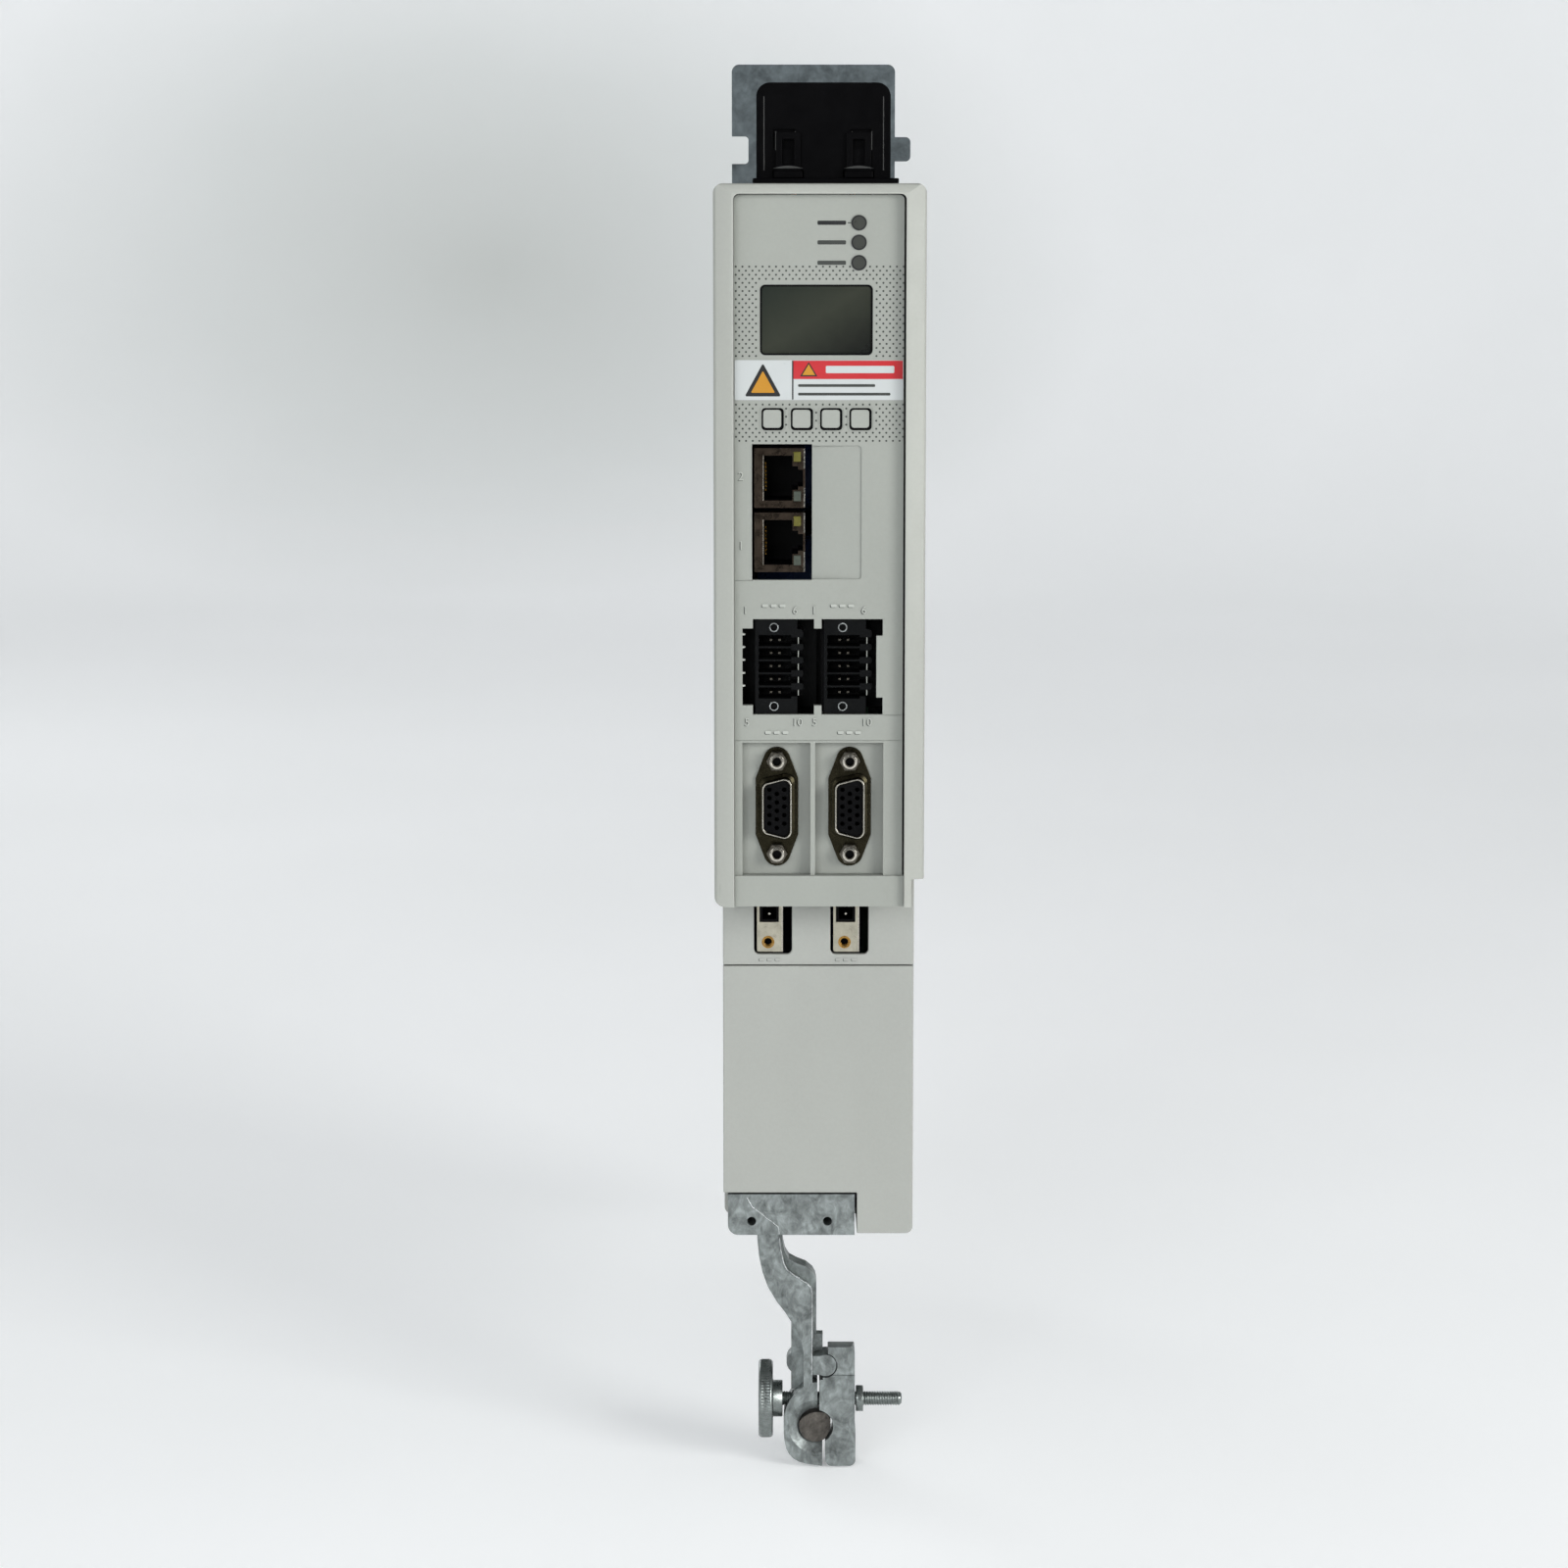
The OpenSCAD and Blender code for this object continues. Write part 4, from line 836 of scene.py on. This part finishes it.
def brass_bushes():
    """Brass bush of each plated bracket, with rings for its thread and a black disc at its bottom as painted
    shade.
    """
    b = Build()
    outer, inner, pitch, n = 1.72, 1.3, 0.5, 36
    z = -64.3
    for node in ("ground_plate_a", "ground_plate_b"):
        plate = Box(node)
        x, y = plate.x0 + 3.05, plate.y0
        b.ring(circle(x, z, outer, n), circle(x, z, inner + 0.02, n), y - 0.12, y + 0.4)
        for k in range(5):
            start = y + 0.35 + pitch * k
            b.ring(circle(x, z, inner - 0.01, n), circle(x, z, inner - 0.26, n), start, start + 0.27)
        # painted shade: a black disc at the bottom of the bush
        b.slab(circle(x, z, inner - 0.02, n), y + 2.9, y + 3.2, 1)
    b.piece("brass_bushes", ["gold", "black"], slot="gold_contact", bevel=0.05)


def socket_trim():
    """Cut edge of each plated bracket in bright nickel as a painted highlight, its bent shoulder, and the
    socket's contact pin.
    """
    b = Build()
    for node in ("ground_plate_a", "ground_plate_b"):
        plate = Box(node)
        y, right = plate.y0, plate.x1
        # painted highlight: a bright nickel strip on the right cut edge
        b.slab(rectangle(right - 0.4, right - 0.06, plate.z0 + 0.4, plate.z1 - 0.2), y - 0.1, y + 0.3)
        b.slab(rounded(plate.x0 + 0.05, plate.x0 + 0.72, -54.2, -51.2, 0.2, 2), y - 0.1, y + 0.3)
        b.slab(circle(plate.x0 + 3.4, -56.6, 0.32, 12), y + 0.9, y + 7)
    b.piece("socket_trim", ["nickel"], slot="ground_nickel", bevel=0.05)


def bus_trim():
    """Rounded lips and thin guide ribs on the front of the bus connector, in a lighter grey plastic as
    painted highlights.
    """
    housing = Box("bus_housing")
    y = housing.y0
    b = Build()
    lip_z, half, bulge, n = 144.9, 4.1, 0.75, 10
    # painted highlights: lips and ribs in a lighter grey than the black housing
    for x in (-8.3, 10.3):
        arc = [(x - half + 2 * half * i / n, lip_z + bulge * math.sin(math.pi * i / n))
               for i in range(n + 1)]
        b.slab(arc[::-1], y - 1.75, y - 1.3)
    b.piece("bus_lips", ["bus_highlight"], slot="bus_plastic", bevel=0.1)
    b = Build()
    for x in (-14.69, 16.8):
        b.slab(rectangle(x - 0.12, x + 0.12, housing.z0 + 2, housing.z1 - 3.6), y - 0.1, y + 0.05)
    for x in (-11.59, -6.43, 8.55, 13.72):
        b.slab(rectangle(x - 0.13, x + 0.13, 149.7, 154.6), y - 0.35, y + 0.05)
    b.piece("bus_ribs", ["bus_highlight"], slot="bus_plastic", bevel=0.04)


# ---------------------------------------------------------------- clamp

def ridge(name, points, y, width, height):
    """A low raised line along points (x, z) on a face at y."""
    b = Build()
    base, crown = 0.1, 0.45
    rows = []
    for i, (x, z) in enumerate(points):
        ax, az = points[max(i - 1, 0)]
        bx, bz = points[min(i + 1, len(points) - 1)]
        d = math.hypot(bx - ax, bz - az)
        nx, nz = -(bz - az) / d * width / 2, (bx - ax) / d * width / 2
        sides = ((1, base), (crown, -height), (-crown, -height), (-1, base))
        rows.append([b.vert(x + nx * k, y + dy, z + nz * k) for k, dy in sides])
    for p, q in zip(rows, rows[1:]):
        for k in range(4):
            b.face((p[k], p[(k + 1) % 4], q[(k + 1) % 4], q[k]))
    b.face(rows[0])
    b.face(rows[-1][::-1])
    # painted highlight: a brighter copy of the cast metal along the line
    b.piece(name, ["rim"], slot="cast_zinc", bevel=0.06)


def casting_lines():
    """The parting line across the block and the ridge along the arm, both bright as painted highlights."""
    block = [(-19.6, -136.0), (-18.3, -138.4), (-14.8, -141.2), (-12.2, -143.2), (-11.0, -144.3),
             (-10.7, -146.2)]
    ridge("block_line", block, Box("lower_cover").y0 + 0.2, 0.42, 0.16)
    arm = [(-10.75, -147.4), (-10.3, -151), (-9.6, -154.5), (-8.7, -156.5), (-6.6, -158.2),
           (-2.9, -160.6), (-2.0, -161.7), (-1.65, -163.4), (-1.65, -176.0), (-1.75, -186.5)]
    ridge("arm_ridge", arm, Box("clamp_jaw").y0, 0.5, 0.2)


def knurled_head(b, y, z, x0, head_r):
    """Knurled head with its two rounded rims, and the plain shank behind it."""
    teeth, points, tooth_depth, shank_r, core_r = 84, 336, 0.16, 5.1, 1.72
    profile = [
        (0, 0.0), (0, head_r * 0.55), (0.25, head_r * 0.62), (0.25, head_r - 0.9),
        (0.05, head_r - 0.75), (0.05, head_r - 0.55), (0.5, head_r - 0.08), (0.9, head_r - 0.02),
        (1.0, head_r), (3.0, head_r), (3.1, head_r - 0.02), (3.5, head_r - 0.08),
        (3.95, head_r - 0.55), (4.0, head_r - 0.8), (4.0, shank_r + 0.3), (4.15, shank_r),
        (6.5, shank_r), (6.7, shank_r - 0.2), (6.7, core_r),
    ]
    knurled = (8, 9)

    def radius(i, a):
        r = max(profile[i][1], 0.02)
        if i in knurled:
            r -= tooth_depth * (0.5 + 0.5 * math.cos(a * teeth))
        return r

    b.turned(y, z, [x0 + x for x, _ in profile], points, radius)


def rolled_thread(b, y, z, start, end):
    """A rolled M4 thread with a blunt tip."""
    core_r, crest_r, pitch, steps, points = 1.72, 2.0, 0.7, 7, 56
    tip_length = 0.8
    tip = ((0.55, 1.78), (0.3, 1.62), (0.08, 1.42), (0, 1.25))
    rows = []
    x = start
    while x < end - tip_length:
        rows.append(x)
        x += pitch / steps
    rows.append(end - tip_length)
    threaded = len(rows)
    rows += [end - back for back, _ in tip]

    def radius(i, a):
        if i >= threaded:
            return tip[i - threaded][1]
        phase = (rows[i] / pitch - a / (2 * math.pi)) % 1
        wave = 1 - abs(2 * phase - 1)
        return core_r + (crest_r - core_r) * min(1, max(0, wave * 1.35 - 0.12))

    b.turned(y, z, rows, points, radius)


def thumb_screw():
    """The screw in place of its plain CAD solid, turned about its own axis."""
    screw = Box("thumb_screw")
    y = (screw.y0 + screw.y1) / 2
    b = Build()
    knurled_head(b, y, screw.z, screw.x0, (screw.z1 - screw.z0) / 2)
    rolled_thread(b, y, screw.z, screw.x0 + 6.6, screw.x1)
    b.piece("knurled_screw", ["zinc"], slot="zinc_plate", body="thumb_screw", replaces="thumb_screw")


# ---------------------------------------------------------------- stage, light, camera

def bowl_mesh(centre_z):
    """A floor that curves up all round into a low wall."""
    flat, bend, high, bend_steps, sides = 2.3, 0.8, 0.9, 14, 96
    profile = [(0.5, centre_z), (1.0, centre_z), (flat, centre_z)]
    for i in range(1, bend_steps + 1):
        a = math.pi / 2 * i / bend_steps
        profile.append((flat + bend * math.sin(a), centre_z + bend * (1 - math.cos(a))))
    profile.append((flat + bend, centre_z + bend + high))
    bm = bmesh.new()
    centre = bm.verts.new((0, 0, centre_z))
    turns = [2 * math.pi * k / sides for k in range(sides)]
    loops = []
    for r, z in profile:
        loops.append([bm.verts.new((r * math.cos(a), r * math.sin(a), z)) for a in turns])
    for k in range(sides):
        bm.faces.new((centre, loops[0][k], loops[0][(k + 1) % sides])).smooth = True
    for a, b in zip(loops, loops[1:]):
        for k in range(sides):
            j = (k + 1) % sides
            bm.faces.new((a[k], b[k], b[j], a[j])).smooth = True
    mesh = bpy.data.meshes.new("bowl")
    bm.to_mesh(mesh)
    return mesh


def paper():
    """Pale paper, with painted shade: a little greyer in one broad patch behind the object."""
    s = Surface("paper", 0.85, Specular_IOR_Level=0.2)
    s.shader.inputs["Emission Color"].default_value = (0.97, 0.985, 1.0, 1)
    # painted shade: a broad falloff round a point behind the object greys the paper
    patch = s.add("ShaderNodeMapping", vector_type="TEXTURE")
    s.plug(patch.inputs["Vector"], s.coords)
    patch.inputs["Location"].default_value = (-0.3, 2.9, 0.06)
    patch.inputs["Scale"].default_value = (0.62, 0.8, 0.42)
    painted_shade_falloff = s.add("ShaderNodeTexGradient", gradient_type="SPHERICAL")
    s.plug(painted_shade_falloff.inputs["Vector"], patch.outputs["Vector"])
    grey = s.share(painted_shade_falloff.outputs["Fac"], 0.8, s.noise(420, 3), 0.2)
    s.colour(s.ramp(grey, (0.0, srgb(246, 247, 248)), (0.5, srgb(206, 210, 208)), (1.0, srgb(172, 177, 172))))
    s.bump(s.noise(3, 4), 0.05)
    # the paper behind the lights, which they don't reach, glows a little more
    s.plug(s.shader.inputs["Emission Strength"], s.span(s.axis(1), -1.2, -2.3, 0.25, 0.62))
    return s.mat


def bowl():
    """The pale stage, so that every view has it behind the object."""
    mesh = bowl_mesh(CAD_BOX[0].z - 0.0005)
    mesh.materials.append(paper())
    obj = bpy.data.objects.new("bowl", mesh)
    scene.collection.objects.link(obj)


def flag(name, x0, x1, y, z0, z1):
    """A black card that only shows in reflections, so that front-facing gloss stays dark."""
    b = Build()
    b.slab(rounded(x0, x1, z0, z1, 20, 3), y, y + 4)
    mesh = bpy.data.meshes.new(name)
    b.bm.to_mesh(mesh)
    b.bm.free()
    mesh.materials.append(MATERIALS["flag"])
    obj = bpy.data.objects.new(name, mesh)
    scene.collection.objects.link(obj)
    obj.visible_camera = obj.visible_diffuse = obj.visible_shadow = False


def area(name, place, aim, size, watts, colour=(1, 1, 1), beam=180):
    """A soft light; beam is less than 180 degrees where a grid keeps it off the floor beside it."""
    data = bpy.data.lights.new(name, "AREA")
    data.shape = "RECTANGLE"
    data.size, data.size_y = size
    data.energy = watts
    data.spread = math.radians(beam)
    data.color = colour
    obj = bpy.data.objects.new(name, data)
    obj.location = place
    obj.rotation_euler = (Vector(aim) - Vector(place)).to_track_quat("-Z", "Y").to_euler()
    obj.visible_camera = False
    scene.collection.objects.link(obj)


def lights():
    """Two broad lights from the front, a weak one from behind and one from above, and a pale room."""
    area("key", (1.35, -1.5, 0.42), (0, -0.15, -0.03), (0.8, 0.7), 11.4, (1.0, 0.99, 0.97), 130)
    area("fill", (-0.6, -2.1, 0.42), (0, -0.1, -0.03), (0.9, 0.7), 6.5, (0.96, 0.98, 1.0), 130)
    area("rear", (-1.3, 1.7, 0.8), (0, 0, 0), (0.9, 0.9), 2.6, (0.97, 0.99, 1.0), 110)
    area("top", (0.2, 0.1, 1.9), (0, -0.1, 0), (1.4, 1.4), 1.4)
    world = bpy.data.worlds.new("room")
    scene.world = world
    world.use_nodes = True
    background = world.node_tree.nodes["Background"]
    background.inputs["Color"].default_value = (0.96, 0.98, 1.0, 1)
    background.inputs["Strength"].default_value = 0.26
    scene.view_settings.view_transform = "Standard"


def camera():
    """The photo's camera: in front, a little above, looking slightly down."""
    data = bpy.data.cameras.new("camera")
    data.sensor_width = 36
    data.lens = 94.5
    data.clip_start = 0.05
    obj = bpy.data.objects.new("camera", data)
    obj.location = (-0.0094, -1.336, 0.1381)
    obj.rotation_euler = (math.radians(90 - 8.15), 0, 0)
    scene.collection.objects.link(obj)
    scene.camera = obj


dress()
soften_nodes()
dots()
label_print()
display_border()
key_gap_painted_shade()
lamp_rims()
numerals()
fascia_marks()
feedback_trim()
jackscrew_highlights_and_shade()
header_trim()
coding_teeth()
jack_trim()
brass_bushes()
socket_trim()
bus_trim()
casting_lines()
thumb_screw()
bowl()
flag("flag_front", -520, 430, -1500, -205, 900)
lights()
camera()
